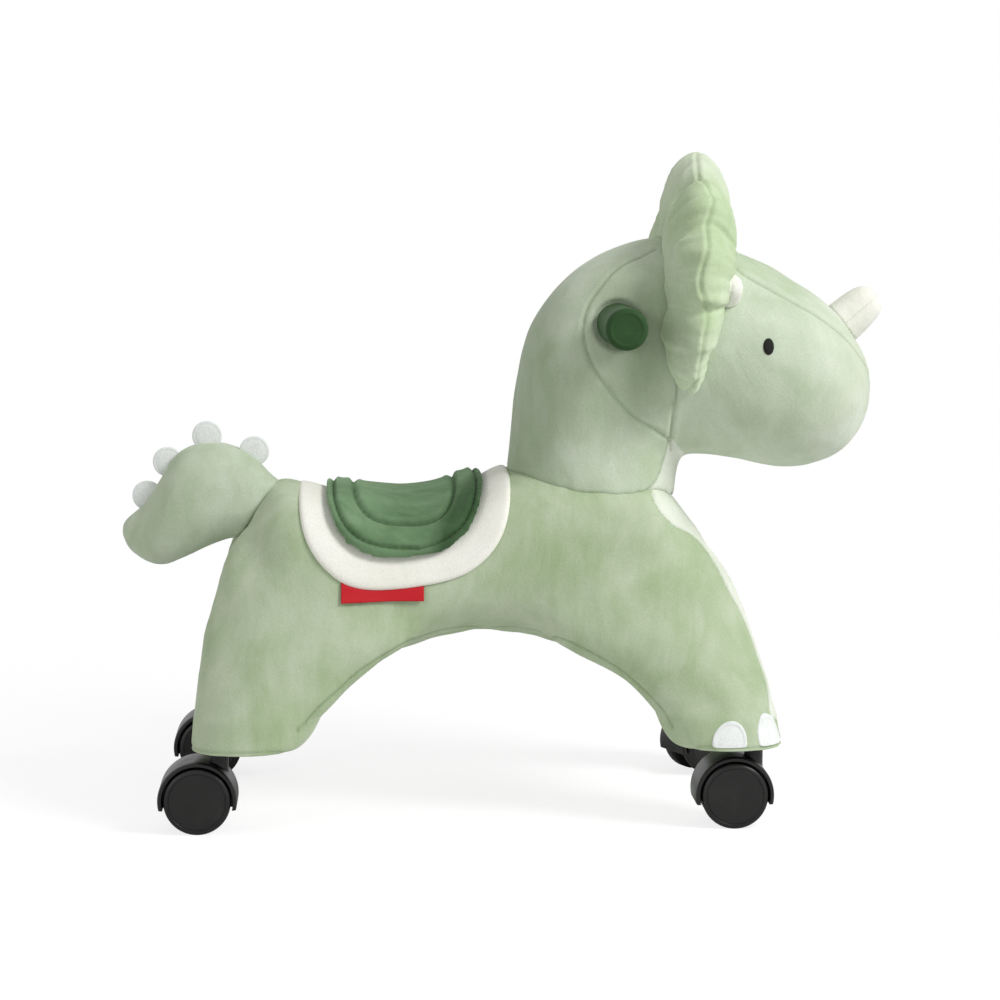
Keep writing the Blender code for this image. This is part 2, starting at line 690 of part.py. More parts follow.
def wheel_mesh():
    """A twin castor's wheel, turned about Y, with its blind bore facing the hood."""
    inner = WEB_HALF + WHEEL_SIDE_GAP
    bore_end = WHEEL_FACE_Y - AXLE_END_WALL
    bore = AXLE_RADIUS + FIT_GAP
    profile = (
        (0, WHEEL_FACE_Y),
        (WHEEL_RADIUS - WHEEL_RIM, WHEEL_FACE_Y),
        (WHEEL_RADIUS, WHEEL_FACE_Y - WHEEL_EDGE),
        (WHEEL_RADIUS, inner + WHEEL_EDGE),
        (WHEEL_RADIUS - WHEEL_EDGE, inner),
        (bore, inner),
        (bore, bore_end),
        (0, bore_end),
    )
    return laid_over(turned_mesh("castor_wheel", profile, WHEEL_SIDES), WHEEL_SIDES)


def hood_mesh():
    """The hood in the castor's own frame: stem on Z, axle behind it at the trail."""
    hub = (-CASTOR_TRAIL, AXLE_Z)
    body = cylinder(
        "castor_hood", HOOD_RADIUS, -HOOD_HALF_WIDTH, HOOD_HALF_WIDTH, hub, HOOD_SIDES, "Y"
    )
    boss = cylinder("boss", BOSS_RADIUS, AXLE_Z, BOSS_TOP_Z)
    wells = [
        cylinder(
            "wheel_well",
            WHEEL_RADIUS + HOOD_GAP,
            min(side * WEB_HALF, side * (HOOD_HALF_WIDTH + OVERRUN)),
            max(side * WEB_HALF, side * (HOOD_HALF_WIDTH + OVERRUN)),
            hub,
            HOOD_SIDES,
            "Y",
        )
        for side in (-1, 1)
    ]
    reach = HOOD_RADIUS + OVERRUN
    below = block(
        "skirt_line",
        (-CASTOR_TRAIL - reach, -reach, -OVERRUN),
        (-CASTOR_TRAIL + reach, reach, AXLE_Z - HOOD_SKIRT),
    )
    stem_bore = cylinder(
        "stem_bore",
        STEM_RADIUS + FIT_GAP,
        BOSS_TOP_Z - STEM_IN_HOOD - FIT_GAP,
        BOSS_TOP_Z + OVERRUN,
        sides=SMALL_SIDES,
    )
    axle_bore = cylinder(
        "axle_bore", AXLE_RADIUS + FIT_GAP, -reach, reach, hub, SMALL_SIDES, "Y"
    )
    add_boolean(body, boss, "UNION")
    for tool in (*wells, below, stem_bore, axle_bore):
        add_boolean(body, tool)
    mesh = settled_mesh(body)
    for tool in (boss, *wells, below, stem_bore, axle_bore):
        bpy.data.objects.remove(tool)
    return mesh


def insert_mesh():
    """Nylon plug in a leg tube's end, with the flange that shows under the foot."""
    bore = STEM_RADIUS + FIT_GAP
    top = FOOT_Z + FIT_GAP + PLUG_DEPTH
    body = cylinder("insert", FLANGE_RADIUS, FLANGE_Z, FLANGE_Z + FLANGE_HEIGHT)
    shank = cylinder(
        "shank", PLUG_RADIUS, FLANGE_Z + FLANGE_HEIGHT / 2, top, sides=SMALL_SIDES
    )
    hole = cylinder("hole", bore, FLANGE_Z - OVERRUN, top + OVERRUN, sides=SMALL_SIDES)
    add_boolean(body, shank, "UNION")
    add_boolean(body, hole)
    mesh = settled_mesh(body)
    for tool in (shank, hole):
        bpy.data.objects.remove(tool)
    return mesh


def stem_mesh():
    """Steel stem: a pin in the hood, a collar, and an end that is held in the insert."""
    low = BOSS_TOP_Z - STEM_IN_HOOD
    top = COLLAR_Z + COLLAR_HEIGHT + STEM_IN_FOOT
    tip = STEM_CHAMFER
    profile = (
        (0, top),
        (STEM_RADIUS - tip, top),
        (STEM_RADIUS, top - tip),
        (STEM_RADIUS, COLLAR_Z + COLLAR_HEIGHT),
        (COLLAR_RADIUS, COLLAR_Z + COLLAR_HEIGHT),
        (COLLAR_RADIUS, COLLAR_Z),
        (STEM_RADIUS, COLLAR_Z),
        (STEM_RADIUS, low + tip),
        (STEM_RADIUS - tip, low),
        (0, low),
    )
    return turned_mesh("castor_stem", profile, SMALL_SIDES)


def axle_mesh():
    """Steel axle through the hood's middle wall, with an end in each wheel."""
    reach = WHEEL_FACE_Y - AXLE_END_WALL - FIT_GAP
    body = cylinder("castor_axle", AXLE_RADIUS, -reach, reach, sides=SMALL_SIDES, axis="Y")
    return settled_mesh(body)


def build_castors():
    wheel = wheel_mesh()
    hood = hood_mesh()
    insert = insert_mesh()
    stem = stem_mesh()
    axle = axle_mesh()
    for corner, end, side, swivel in CORNERS:
        foot = (STEM_XS[end], side * TRACK / 2, 0)
        pivot = bpy.data.objects.new("castor_" + corner, None)
        PARTS.objects.link(pivot)
        pivot.location = foot
        pivot.rotation_euler.z = math.radians(swivel)
        hub = (-CASTOR_TRAIL, 0, AXLE_Z)
        add_object("tube_insert_" + corner, insert.copy(), BLACK_NYLON, place=foot)
        add_object("castor_stem_" + corner, stem.copy(), STEEL, place=foot)
        add_object("castor_hood_" + corner, hood.copy(), BLACK_NYLON, pivot)
        add_object("castor_axle_" + corner, axle.copy(), STEEL, pivot, hub)
        for label, turn in (("left", 0), ("right", math.pi)):
            name = f"wheel_{corner}_{label}"
            add_object(name, wheel.copy(), BLACK_NYLON, pivot, hub, turn)


# Tube frame: two leg hoops, a spine between them, and a post that holds the handlebar

def hoop_path(stem_x, top_x, overrun):
    """From one foot up, across the torso and down to the other foot."""
    low = FOOT_Z + FIT_GAP - overrun
    knee = FOOT_Z + TUBE_STRAIGHT
    half = TRACK / 2
    return rounded_path(
        (
            (stem_x, -half, low),
            (stem_x, -half, knee),
            (top_x, -HOOP_HALF_WIDTH, SPINE_Z),
            (top_x, HOOP_HALF_WIDTH, SPINE_Z),
            (stem_x, half, knee),
            (stem_x, half, low),
        ),
        TUBE_BEND,
    )


def frame_bars(growth=0.0, overrun=0.0, post_foot=0.0):
    """The frame's two hoops, spine and post, grown all round by a distance.

    Their open ends run on by the overrun, and the post starts above the spine's axis.
    """
    spine_start = Vector((REAR_HOOP_X, 0, SPINE_Z))
    spine_end = Vector((FRONT_HOOP_X, 0, SPINE_Z))
    bar = Vector((BAR_X, 0, BAR_Z))
    lean = (bar - spine_end).normalized()
    post = (spine_end + lean * post_foot, bar + lean * (POST_OVER_BAR + overrun))
    return [
        tube("rear_hoop", hoop_path(REAR_STEM_X, REAR_HOOP_X, overrun), TUBE_RADIUS + growth),
        tube("front_hoop", hoop_path(FRONT_STEM_X, FRONT_HOOP_X, overrun), TUBE_RADIUS + growth),
        tube("spine", (spine_start, spine_end), SPINE_RADIUS + growth),
        tube("post", post, POST_RADIUS + growth),
    ]


def build_frame():
    """The welded frame. Its bores open at the feet and at the post's top."""
    bars = frame_bars()
    bores = frame_bars(-FRAME_WALL, OVERRUN, TUBE_RADIUS)
    bar_hole = cylinder(
        "bar_hole", BAR_RADIUS + FIT_GAP, -GRIP_REACH, GRIP_REACH, (BAR_X, BAR_Z), axis="Y"
    )
    core = bars[0]
    for bar in bars[1:]:
        add_boolean(core, bar, "UNION")
    for tool in (bar_hole, *bores):
        add_boolean(core, tool)
    mesh = settled_mesh(core)
    for tool in (*bars[1:], *bores, bar_hole):
        bpy.data.objects.remove(tool)
    add_object("welded_frame", smoothed(mesh), STEEL)


def build_handlebar(neck_seat):
    """Steel bar across the neck, with a moulded grip on each end."""
    grip_end = GRIP_REACH - GRIP_END_WALL
    reach = grip_end - FIT_GAP
    bar = cylinder("bar", BAR_RADIUS, -reach, reach, axis="Y")
    bore = cylinder("bar_bore", BAR_RADIUS - BAR_WALL, -GRIP_REACH, GRIP_REACH, axis="Y")
    add_boolean(bar, bore)
    mesh = settled_mesh(bar)
    bpy.data.objects.remove(bore)
    add_object("handlebar", mesh, STEEL, place=(BAR_X, 0, BAR_Z))
    bore_radius = BAR_RADIUS + FIT_GAP
    middle = (GRIP_ROOT_Y + GRIP_REACH) / 2
    end = [
        (GRIP_RADIUS - GRIP_EDGE * inward, GRIP_REACH - GRIP_EDGE * back)
        for inward, back in GRIP_END_SHARES
    ]
    profile = (
        (0, GRIP_REACH),
        *end,
        (GRIP_RADIUS - GRIP_WAIST, middle),
        (GRIP_RADIUS, GRIP_ROOT_Y),
        (bore_radius, GRIP_ROOT_Y),
        (bore_radius, grip_end),
        (0, grip_end),
    )
    for label, turn in (("left", 0), ("right", math.pi)):
        grip = laid_over(turned_mesh("grip_" + label, profile, ROUND_SIDES), ROUND_SIDES)
        made = add_object("grip_" + label, grip, GRIP_PLASTIC, None, (BAR_X, 0, BAR_Z), turn)
        add_boolean(made, neck_seat)


def plate_mesh(name, growth, low, high):
    """A rounded plate about the Z axis, grown all round by a distance."""
    work = bmesh.new()
    bmesh.ops.create_cube(work, size=1.0)
    size = (PLATE_LENGTH + growth * 2, PLATE_WIDTH + growth * 2, high - low)
    bmesh.ops.scale(work, verts=work.verts, vec=size)
    upright = [e for e in work.edges if abs(e.verts[0].co.z - e.verts[1].co.z) > PLATE_HEIGHT / 2]
    bmesh.ops.bevel(
        work, geom=upright, offset=PLATE_CORNER + growth, segments=PLATE_CORNER_STEPS,
        profile=0.5, affect="EDGES",
    )
    bmesh.ops.translate(work, verts=work.verts, vec=(0, 0, (low + high) / 2))
    mesh = bpy.data.meshes.new(name)
    work.to_mesh(mesh)
    work.free()
    return mesh


# Stuffed forms

def torso_form():
    """The trunk, from the rump to the chest."""
    rows = []
    for along, belly, back, width in TORSO_SHARES:
        low = BELLY_Z + belly * TORSO_HEIGHT
        high = BELLY_Z + back * TORSO_HEIGHT
        x = TORSO_REAR_X + along * TORSO_LENGTH
        rows.append((x, low, x, high, 0, TORSO_HALF_WIDTH * width))
    return Loft(rows, TORSO_SIDES, TORSO_STEPS)


def leg_form(middle_x, shares, side):
    """One leg, from the foot up beside the trunk."""
    rows = []
    for rise, rear, front, inner, outer in shares:
        z = FOOT_Z + rise * LEG_RISE
        y = side * (TRACK / 2 + (inner + outer) / 2 * LEG_SPREAD)
        width = (outer - inner) / 2 * LEG_SPREAD
        rows.append(
            (middle_x + front * LEG_SPAN, z, middle_x + rear * LEG_SPAN, z, y, width)
        )
    return Loft(rows, LEG_SIDES, LEG_STEPS)


def neck_form():
    """The neck, from the trunk up and forward to the back of the face."""
    rows = []
    for throat_x, throat_z, nape_x, nape_z, width in NECK_SHARES:
        rows.append(
            (
                NECK_X + throat_x * NECK_LENGTH,
                NECK_ROOT_Z + throat_z * NECK_RISE,
                NECK_X + nape_x * NECK_LENGTH,
                NECK_ROOT_Z + nape_z * NECK_RISE,
                0,
                width * NECK_HALF_WIDTH,
            )
        )
    return Loft(rows, NECK_SIDES, NECK_STEPS)


def head_form():
    """The face, from its seam with the neck to the nose."""
    rows = []
    for along, chin, crown, width in HEAD_SHARES:
        low = CHIN_Z + chin * HEAD_HEIGHT
        high = CHIN_Z + crown * HEAD_HEIGHT
        x = HEAD_X + along * HEAD_LENGTH
        rows.append((x, low, x, high, 0, width * HEAD_HALF_WIDTH))
    return Loft(rows, HEAD_SIDES, HEAD_STEPS)


def tail_form():
    """The raised tail, from its tip in to the rump."""
    rows = []
    for low_x, low_z, high_x, high_z, width in TAIL_SHARES:
        rows.append(
            (
                TAIL_X - low_x * TAIL_LENGTH,
                TAIL_Z + low_z * TAIL_RISE,
                TAIL_X - high_x * TAIL_LENGTH,
                TAIL_Z + high_z * TAIL_RISE,
                0,
                width * TAIL_HALF_WIDTH,
            )
        )
    return Loft(rows, TAIL_SIDES, TAIL_STEPS)


def frill_mesh():
    """A stuffed fan: rings grow from its middle to the seam at its scalloped rim."""
    span = math.pi - 2 * FRILL_START
    steps = FRILL_LOBES * LOBE_STEPS
    outline = []
    for i in range(steps + 1):
        angle = FRILL_START + span * i / steps
        bulge = abs(math.sin(math.pi * i / LOBE_STEPS)) ** LOBE_ROUNDNESS
        outline.append((angle, FRILL_RADIUS * (1 - FRILL_NOTCH_SHARE * (1 - bulge))))
    below = 2 * math.pi - span
    for i in range(1, FRILL_ROOT_STEPS):
        angle = FRILL_START + span + below * i / FRILL_ROOT_STEPS
        outline.append((angle, FRILL_ROOT_RADIUS))
    shear = math.tan(FRILL_LEAN)

    def ring(share, swell, side):
        found = []
        for angle, radius in outline:
            y = share * radius * math.cos(angle)
            z = share * radius * math.sin(angle)
            x = FRILL_X + z * shear + side * swell * FRILL_HALF_THICKNESS
            found.append((x, y, FRILL_Z + z))
        return found

    front = []
    back = []
    for share, swell in zip(FRILL_RING_SHARES, FRILL_SWELL_SHARES):
        if share == 0:
            front.append([(FRILL_X + FRILL_HALF_THICKNESS, 0, FRILL_Z)])
            back.append([(FRILL_X - FRILL_HALF_THICKNESS, 0, FRILL_Z)])
            continue
        front.append(ring(share, swell, 1))
        if swell:
            back.append(ring(share, swell, -1))
    return rings_mesh("frill", front + back[::-1])


def horn_mesh(name, root, direction, length, radius):
    """A blunt stuffed cone from its root, sunk in the head, to its tip."""
    profile = [(radius * across, length * along) for along, across in HORN_SHARES]
    mesh = turned_mesh(name, profile, HORN_SIDES)
    aim = Vector((0, 0, 1)).rotation_difference(direction).to_matrix().to_4x4()
    mesh.transform(Matrix.Translation(root) @ aim)
    return mesh


def saddle_outline(torso, half_length, half_angle, roundness):
    """(place, angle) points of a rounded rectangle laid over the back."""
    points = []
    for i in range(SADDLE_STEPS):
        along, around = oval(2 * math.pi * i / SADDLE_STEPS, roundness)
        place = torso.place_at(SADDLE_X + along * half_length, 0)
        points.append((place, around * half_angle))
    return points


def spike_mesh(name, x, z):
    """A padded felt disc standing in the tail's ridge seam."""
    half = SPIKE_THICKNESS / 2
    profile = (
        (0, half),
        (SPIKE_RADIUS - SPIKE_EDGE, half),
        (SPIKE_RADIUS, half - SPIKE_EDGE),
        (SPIKE_RADIUS, -half + SPIKE_EDGE),
        (SPIKE_RADIUS - SPIKE_EDGE, -half),
        (0, -half),
    )
    mesh = laid_over(turned_mesh(name, profile, HORN_SIDES), HORN_SIDES)
    mesh.transform(Matrix.Translation((x, 0, z)))
    return mesh


def build_body():
    """The stuffed pieces, each cut by the larger ones and by the frame inside it."""
    torso = torso_form()
    neck = neck_form()
    head = head_form()
    tail = tail_form()
    channels = frame_bars(FOAM_GAP, OVERRUN)
    rear_hoop, front_hoop, _, post = channels
    torso_seat = torso.cutter("torso")
    neck_seat = neck.cutter("neck")
    head_seat = head.cutter("head")

    trunk = add_object("torso", torso.mesh("torso"), GREEN_PLUSH)
    for tool in channels:
        add_boolean(trunk, tool)

    throat = add_object("neck", neck.mesh("neck"), GREEN_PLUSH)
    bar_way = cylinder(
        "bar_way", BAR_RADIUS + FOAM_GAP, -GRIP_REACH, GRIP_REACH, (BAR_X, BAR_Z), axis="Y"
    )
    for tool in (torso_seat, post, bar_way):
        add_boolean(throat, tool)

    face = add_object("head", head.mesh("head"), GREEN_PLUSH)
    face.location.x = SEAM_GAP
    fan = add_object("frill", frill_mesh(), GREEN_PLUSH)
    head_seat.location.x = SEAM_GAP
    for tool in (head_seat, neck_seat):
        add_boolean(fan, tool)
    fan_seat = add_object("frill_seat", fan.data.copy())
    grow = fan_seat.modifiers.new("grow", "DISPLACE")
    grow.strength = SEAM_GAP
    grow.mid_level = 0

    build_legs(torso_seat, rear_hoop, front_hoop)
    build_horns(head_seat, neck_seat, fan_seat)
    build_tail(tail, torso_seat)
    build_saddle(torso, torso_seat, neck_seat)
    build_eyes(head, head_seat)
    build_handlebar(neck_seat)


def build_legs(torso_seat, rear_hoop, front_hoop):
    """Four legs with their foot plates, and the front feet's toenails."""
    legs = (
        ("rear", REAR_LEG_X, REAR_LEG_SHARES, rear_hoop),
        ("front", FRONT_LEG_X, FRONT_LEG_SHARES, front_hoop),
    )
    for end, middle_x, shares, hoop in legs:
        for label, side in (("left", 1), ("right", -1)):
            form = leg_form(middle_x, shares, side)
            name = f"leg_{end}_{label}"
            leg = add_object(name, form.mesh(name), GREEN_PLUSH)
            foot = (middle_x, side * TRACK / 2, 0)
            top_z = FOOT_Z + PLATE_HEIGHT
            recess = add_object(
                "recess_" + name,
                plate_mesh("recess", SEAM_GAP, FOOT_Z - OVERRUN, top_z + SEAM_GAP),
                place=foot,
            )
            for tool in (torso_seat, hoop, recess):
                add_boolean(leg, tool)
            plate_name = f"foot_plate_{end}_{label}"
            plate = add_object(
                plate_name, plate_mesh(plate_name, 0.0, FOOT_Z, top_z), BLACK_NYLON, place=foot
            )
            hole = cylinder(
                "plate_hole",
                TUBE_RADIUS + FIT_GAP,
                FOOT_Z - OVERRUN,
                FOOT_Z + OVERRUN,
                (STEM_XS[end], side * TRACK / 2),
            )
            add_boolean(plate, hole)
            if end == "front":
                build_nails(form, form.cutter(name), label, side)


def build_nails(form, seat, label, side):
    """Half-oval toenails, sewn flat round the foot's front."""
    for place, degrees in NAIL_ANGLES:
        centre_angle = side * math.radians(degrees)
        low = form.place_at(FOOT_Z + NAIL_FOOT_GAP, 2)
        high = form.place_at(FOOT_Z + NAIL_HEIGHT, 2)
        _, depth, width, _ = form.ring_at((low + high) / 2)
        spread = NAIL_HALF_WIDTH / ((depth.length + width) / 2)
        outline = []
        for i in range(NAIL_STEPS):
            a = 2 * math.pi * i / NAIL_STEPS
            rise = max(math.sin(a), -NAIL_FLAT_SHARE) + NAIL_FLAT_SHARE
            along = low + (high - low) * rise / (1 + NAIL_FLAT_SHARE)
            outline.append((along, centre_angle + spread * math.cos(a)))
        centre = (low + (high - low) * NAIL_FLAT_SHARE, centre_angle)
        name = f"toenail_{label}_{place}"
        mesh = sewn_patch(
            name, form, centre, outline, PATCH_RING_SHARES, PATCH_SWELL_SHARES, NAIL_THICKNESS
        )
        add_boolean(add_object(name, mesh, WHITE_FELT), seat)


def build_horns(head_seat, neck_seat, fan_seat):
    """One horn on the nose and one over each eye."""
    root = Vector(
        (
            HEAD_X + NOSE_HORN_ROOT_SHARES[0] * HEAD_LENGTH,
            0,
            CHIN_Z + NOSE_HORN_ROOT_SHARES[1] * HEAD_HEIGHT,
        )
    )
    aim = Vector((math.cos(NOSE_HORN_ANGLE), 0, math.sin(NOSE_HORN_ANGLE)))
    nose = add_object(
        "nose_horn",
        horn_mesh("nose_horn", root, aim, NOSE_HORN_LENGTH, NOSE_HORN_RADIUS),
        CREAM_PLUSH,
    )
    add_boolean(nose, head_seat)
    for label, side in (("left", 1), ("right", -1)):
        along, up, across = BROW_HORN_ROOT_SHARES
        start = Vector(
            (
                HEAD_X + along * HEAD_LENGTH,
                side * across * HEAD_HALF_WIDTH,
                CHIN_Z + up * HEAD_HEIGHT,
            )
        )
        aim = BROW_HORN_DIRECTION.normalized()
        aim = Vector((aim.x, side * aim.y, aim.z))
        name = "brow_horn_" + label
        horn = add_object(
            name,
            horn_mesh(name, start, aim, BROW_HORN_LENGTH, BROW_HORN_RADIUS),
            CREAM_PLUSH,
        )
        for tool in (head_seat, neck_seat, fan_seat):
            add_boolean(horn, tool)


def build_tail(tail, torso_seat):
    """The tail and the felt discs along its ridge."""
    body = add_object("tail", tail.mesh("tail"), GREEN_PLUSH)
    add_boolean(body, torso_seat)
    seat = tail.cutter("tail")
    for number, (along, up) in enumerate(SPIKE_SHARES, 1):
        name = f"tail_spike_{number}"
        x = TAIL_X - along * TAIL_LENGTH
        z = TAIL_Z + up * TAIL_RISE
        spike = add_object(name, spike_mesh(name, x, z), WHITE_FELT)
        add_boolean(spike, seat)


def build_saddle(torso, torso_seat, neck_seat):
    """The blanket follows the torso's own skin, and the pad sits on the blanket."""
    centre = (torso.place_at(SADDLE_X, 0), 0)
    outline = saddle_outline(torso, BLANKET_HALF_LENGTH, BLANKET_ANGLE, BLANKET_ROUNDNESS)
    hem_line = add_object(
        "hem_line",
        sewn_patch(
            "hem_line", torso, centre, outline, HEM_RING_SHARES, HEM_SWELL_SHARES, OVERRUN,
            sink=OVERRUN,
        ),
    )
    blanket = add_object(
        "saddle_blanket", torso.mesh("saddle_blanket", BLANKET_THICKNESS), CREAM_PLUSH
    )
    add_boolean(blanket, hem_line, "INTERSECT")
    for tool in (torso_seat, neck_seat):
        add_boolean(blanket, tool)
    pad_seat = add_object("pad_seat", torso.mesh("pad_seat", BLANKET_THICKNESS + SEAM_GAP))
    outline = saddle_outline(torso, PAD_HALF_LENGTH, PAD_ANGLE, PAD_ROUNDNESS)
    pad = add_object(
        "seat_pad",
        sewn_patch(
            "seat_pad", torso, centre, outline, PAD_RING_SHARES, PAD_SWELL_SHARES, PAD_THICKNESS,
            base=BLANKET_THICKNESS,
        ),
        SADDLE_VELOUR,
    )
    add_boolean(pad, pad_seat)
    build_tag(torso)


def build_tag(torso):
    """Plain ribbon tag, sewn over the blanket's hem on the right side and hanging upright."""
    hem = torso.point(torso.place_at(TAG_X, 0), -BLANKET_ANGLE)
    middle_z = hem.z + TAG_LAP - TAG_DROP / 2
    leg = leg_form(REAR_LEG_X, REAR_LEG_SHARES, -1)
    thigh, _, thigh_half_width, _ = leg.ring_at(leg.place_at(middle_z - TAG_DROP / 2, 2))
    widest = max(TORSO_HALF_WIDTH + BLANKET_THICKNESS, thigh_half_width - thigh.y)
    work = bmesh.new()
    bmesh.ops.create_cube(work, size=1.0)
    bmesh.ops.scale(work, verts=work.verts, vec=(TAG_LENGTH, TAG_THICKNESS, TAG_DROP))
    ribbon = bpy.data.meshes.new("side_tag")
    work.to_mesh(ribbon)
    work.free()
    middle = (TAG_X, -(widest + FIT_GAP + TAG_THICKNESS / 2), middle_z)
    add_object("side_tag", ribbon, RED_RIBBON, place=middle)


def build_eyes(head, head_seat):
    """An embroidered oval eye on each side of the head."""
    along, up = EYE_PLACE_SHARES
    place = head.place_at(HEAD_X + along * HEAD_LENGTH, 0)
    middle, depth, _, _ = head.ring_at(place)
    rise = (CHIN_Z + up * HEAD_HEIGHT - middle.z) / depth.z
    angle = math.acos(math.copysign(abs(rise) ** (BODY_SQUARENESS / 2), rise))
    turn = EYE_HALF_HEIGHT / depth.z
    for label, side in (("left", 1), ("right", -1)):
        outline = []
        for i in range(EYE_STEPS):
            a = 2 * math.pi * i / EYE_STEPS
            outline.append(
                (place + EYE_HALF_LENGTH * math.cos(a), side * (angle + turn * math.sin(a)))
            )
        name = "eye_" + label
        mesh = sewn_patch(
            name,
            head,
            (place, side * angle),
            outline,
            PATCH_RING_SHARES,
            PATCH_SWELL_SHARES,
            EYE_THICKNESS,
        )
        eye = add_object(name, mesh, EYE_THREAD)
        eye.location.x = SEAM_GAP
        add_boolean(eye, head_seat)


build_castors()
build_frame()
build_body()
bpy.context.view_layer.update()
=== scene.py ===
import math

import bmesh
import bpy
import numpy as np
from mathutils import Matrix, Vector, noise
from mathutils.bvhtree import BVHTree
from mathutils.kdtree import KDTree


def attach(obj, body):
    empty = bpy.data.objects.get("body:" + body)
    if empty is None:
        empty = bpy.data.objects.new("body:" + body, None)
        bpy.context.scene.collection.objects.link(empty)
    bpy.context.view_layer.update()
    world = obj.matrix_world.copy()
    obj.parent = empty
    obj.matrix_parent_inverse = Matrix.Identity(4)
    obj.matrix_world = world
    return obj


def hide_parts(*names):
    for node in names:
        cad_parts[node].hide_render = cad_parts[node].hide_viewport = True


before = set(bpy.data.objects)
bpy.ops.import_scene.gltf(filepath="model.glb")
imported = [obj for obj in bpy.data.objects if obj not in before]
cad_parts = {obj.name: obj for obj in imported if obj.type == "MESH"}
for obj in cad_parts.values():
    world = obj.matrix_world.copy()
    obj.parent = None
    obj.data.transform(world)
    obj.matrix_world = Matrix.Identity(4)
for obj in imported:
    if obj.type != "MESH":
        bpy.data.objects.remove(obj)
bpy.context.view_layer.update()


# The photographer's place: the toy stands nose to the right, seen from its right side,
# a little above its back, through a long lens.
MM = 0.001
view_azimuth = math.radians(-3.0)
view_elevation = math.radians(6.5)
view_target = Vector((0, 0, 235.1 * MM))
view_distance = 2.2
toward_camera = Vector(
    (
        math.sin(view_azimuth) * math.cos(view_elevation),
        -math.cos(view_azimuth) * math.cos(view_elevation),
        math.sin(view_elevation),
    )
)


def put_in_scene(name, data):
    """An object in the scene that holds a lens, a lamp or a mesh."""
    put = bpy.data.objects.new(name, data)
    bpy.context.collection.objects.link(put)
    return put


camera_lens = bpy.data.cameras.new("camera")
camera_lens.sensor_width = 36
camera_lens.lens = 101.8
camera = put_in_scene("camera", camera_lens)
camera.location = view_target + toward_camera * view_distance
camera.rotation_euler = toward_camera.to_track_quat("Z", "Y").to_euler()
bpy.context.scene.camera = camera
bpy.context.scene.view_settings.view_transform = "Standard"


# The studio: a soft lamp over the nose side and a weaker one at the tail, both aimed at the toy,
# with pale walls all round.
lamp_aim = Vector((0.0, 0.0, 0.25))


def soft_lamp(name, place, size, watts):
    lamp = bpy.data.lights.new(name, "AREA")
    lamp.shape = "DISK"
    lamp.size = size
    lamp.energy = watts
    held = put_in_scene(name, lamp)
    held.location = place
    held.rotation_euler = (Vector(place) - lamp_aim).to_track_quat("Z", "Y").to_euler()


soft_lamp("overhead_lamp", (1.30, -0.85, 1.45), size=0.75, watts=27.0)
soft_lamp("tail_lamp", (-1.9, -1.2, 1.0), size=1.0, watts=7.0)


def clear_nodes(owner):
    """The emptied node tree of a world or a material."""
    owner.use_nodes = True
    owner.node_tree.nodes.clear()
    return owner.node_tree


def fill_inputs(tree, node, inputs):
    """Links the sockets among a node's inputs, and sets the values."""
    for label, value in inputs.items():
        if isinstance(value, bpy.types.NodeSocket):
            tree.links.new(value, node.inputs[label])
        else:
            node.inputs[label].default_value = value


def add_node(tree, kind, inputs=None, **settings):
    """A shader node with its own settings and its inputs."""
    made = tree.nodes.new("ShaderNode" + kind)
    for name, value in settings.items():
        setattr(made, name, value)
    fill_inputs(tree, made, inputs or {})
    return made


white = (1.0, 1.0, 1.0, 1.0)
walls = bpy.data.worlds.new("studio_walls")
tree = clear_nodes(walls)
rays = add_node(tree, "LightPath").outputs
seen = add_node(tree, "Math", {0: rays["Is Camera Ray"], 1: rays["Is Glossy Ray"]}, operation="MAXIMUM")
seen = add_node(tree, "Math", {0: seen.outputs[0], 1: rays["Is Transmission Ray"]}, operation="MAXIMUM")
lighting = add_node(tree, "Background", {"Color": white, "Strength": 0.46})
backdrop = add_node(tree, "Background", {"Color": white, "Strength": 1.0})
mixed = add_node(tree, "MixShader", {0: seen.outputs[0], 1: lighting.outputs[0], 2: backdrop.outputs[0]})
add_node(tree, "OutputWorld", {"Surface": mixed.outputs[0]})
bpy.context.scene.world = walls


# The floor: a sheet of pale board under the toy, which fades into the white wall round it.
# The camera sees it paler than the light that it throws back at the toy.
def spread(tree, value, low, high, to=(0.0, 1.0), **settings):
    """A value from low to high, stretched over another span."""
    spans = {"Value": value, "From Min": low, "From Max": high, "To Min": to[0], "To Max": to[1]}
    return add_node(tree, "MapRange", spans, **settings).outputs["Result"]


floor_reach, fade_start, fade_end = 3.0, 0.42, 1.05
floor_mesh = bpy.data.meshes.new("floor")
floor_corners = [(x * floor_reach, y * floor_reach, 0) for x, y in ((-1, -1), (1, -1), (1, 1), (-1, 1))]
floor_mesh.from_pydata(floor_corners, [], [(0, 1, 2, 3)])
floor = put_in_scene("floor", floor_mesh)
floor_paint = bpy.data.materials.new("pale_floor")
tree = clear_nodes(floor_paint)
place = add_node(tree, "TexCoord").outputs["Object"]
away = add_node(tree, "VectorMath", {0: place}, operation="LENGTH")
fade = spread(tree, away.outputs["Value"], fade_start, fade_end, interpolation_type="SMOOTHSTEP")
camera_ray = add_node(tree, "LightPath").outputs["Is Camera Ray"]
board = add_node(tree, "BsdfDiffuse", {"Color": (0.9, 0.9, 0.9, 1.0)})
paler = add_node(tree, "BsdfDiffuse", {"Color": (0.28, 0.28, 0.28, 1.0)})
lit = add_node(tree, "Emission", {"Color": white, "Strength": 0.80})
paler = add_node(tree, "AddShader", {0: paler.outputs[0], 1: lit.outputs[0]})
board = add_node(tree, "MixShader", {0: camera_ray, 1: board.outputs[0], 2: paler.outputs[0]})
clear = add_node(tree, "BsdfTransparent")
mixed = add_node(tree, "MixShader", {0: fade, 1: board.outputs[0], 2: clear.outputs[0]})
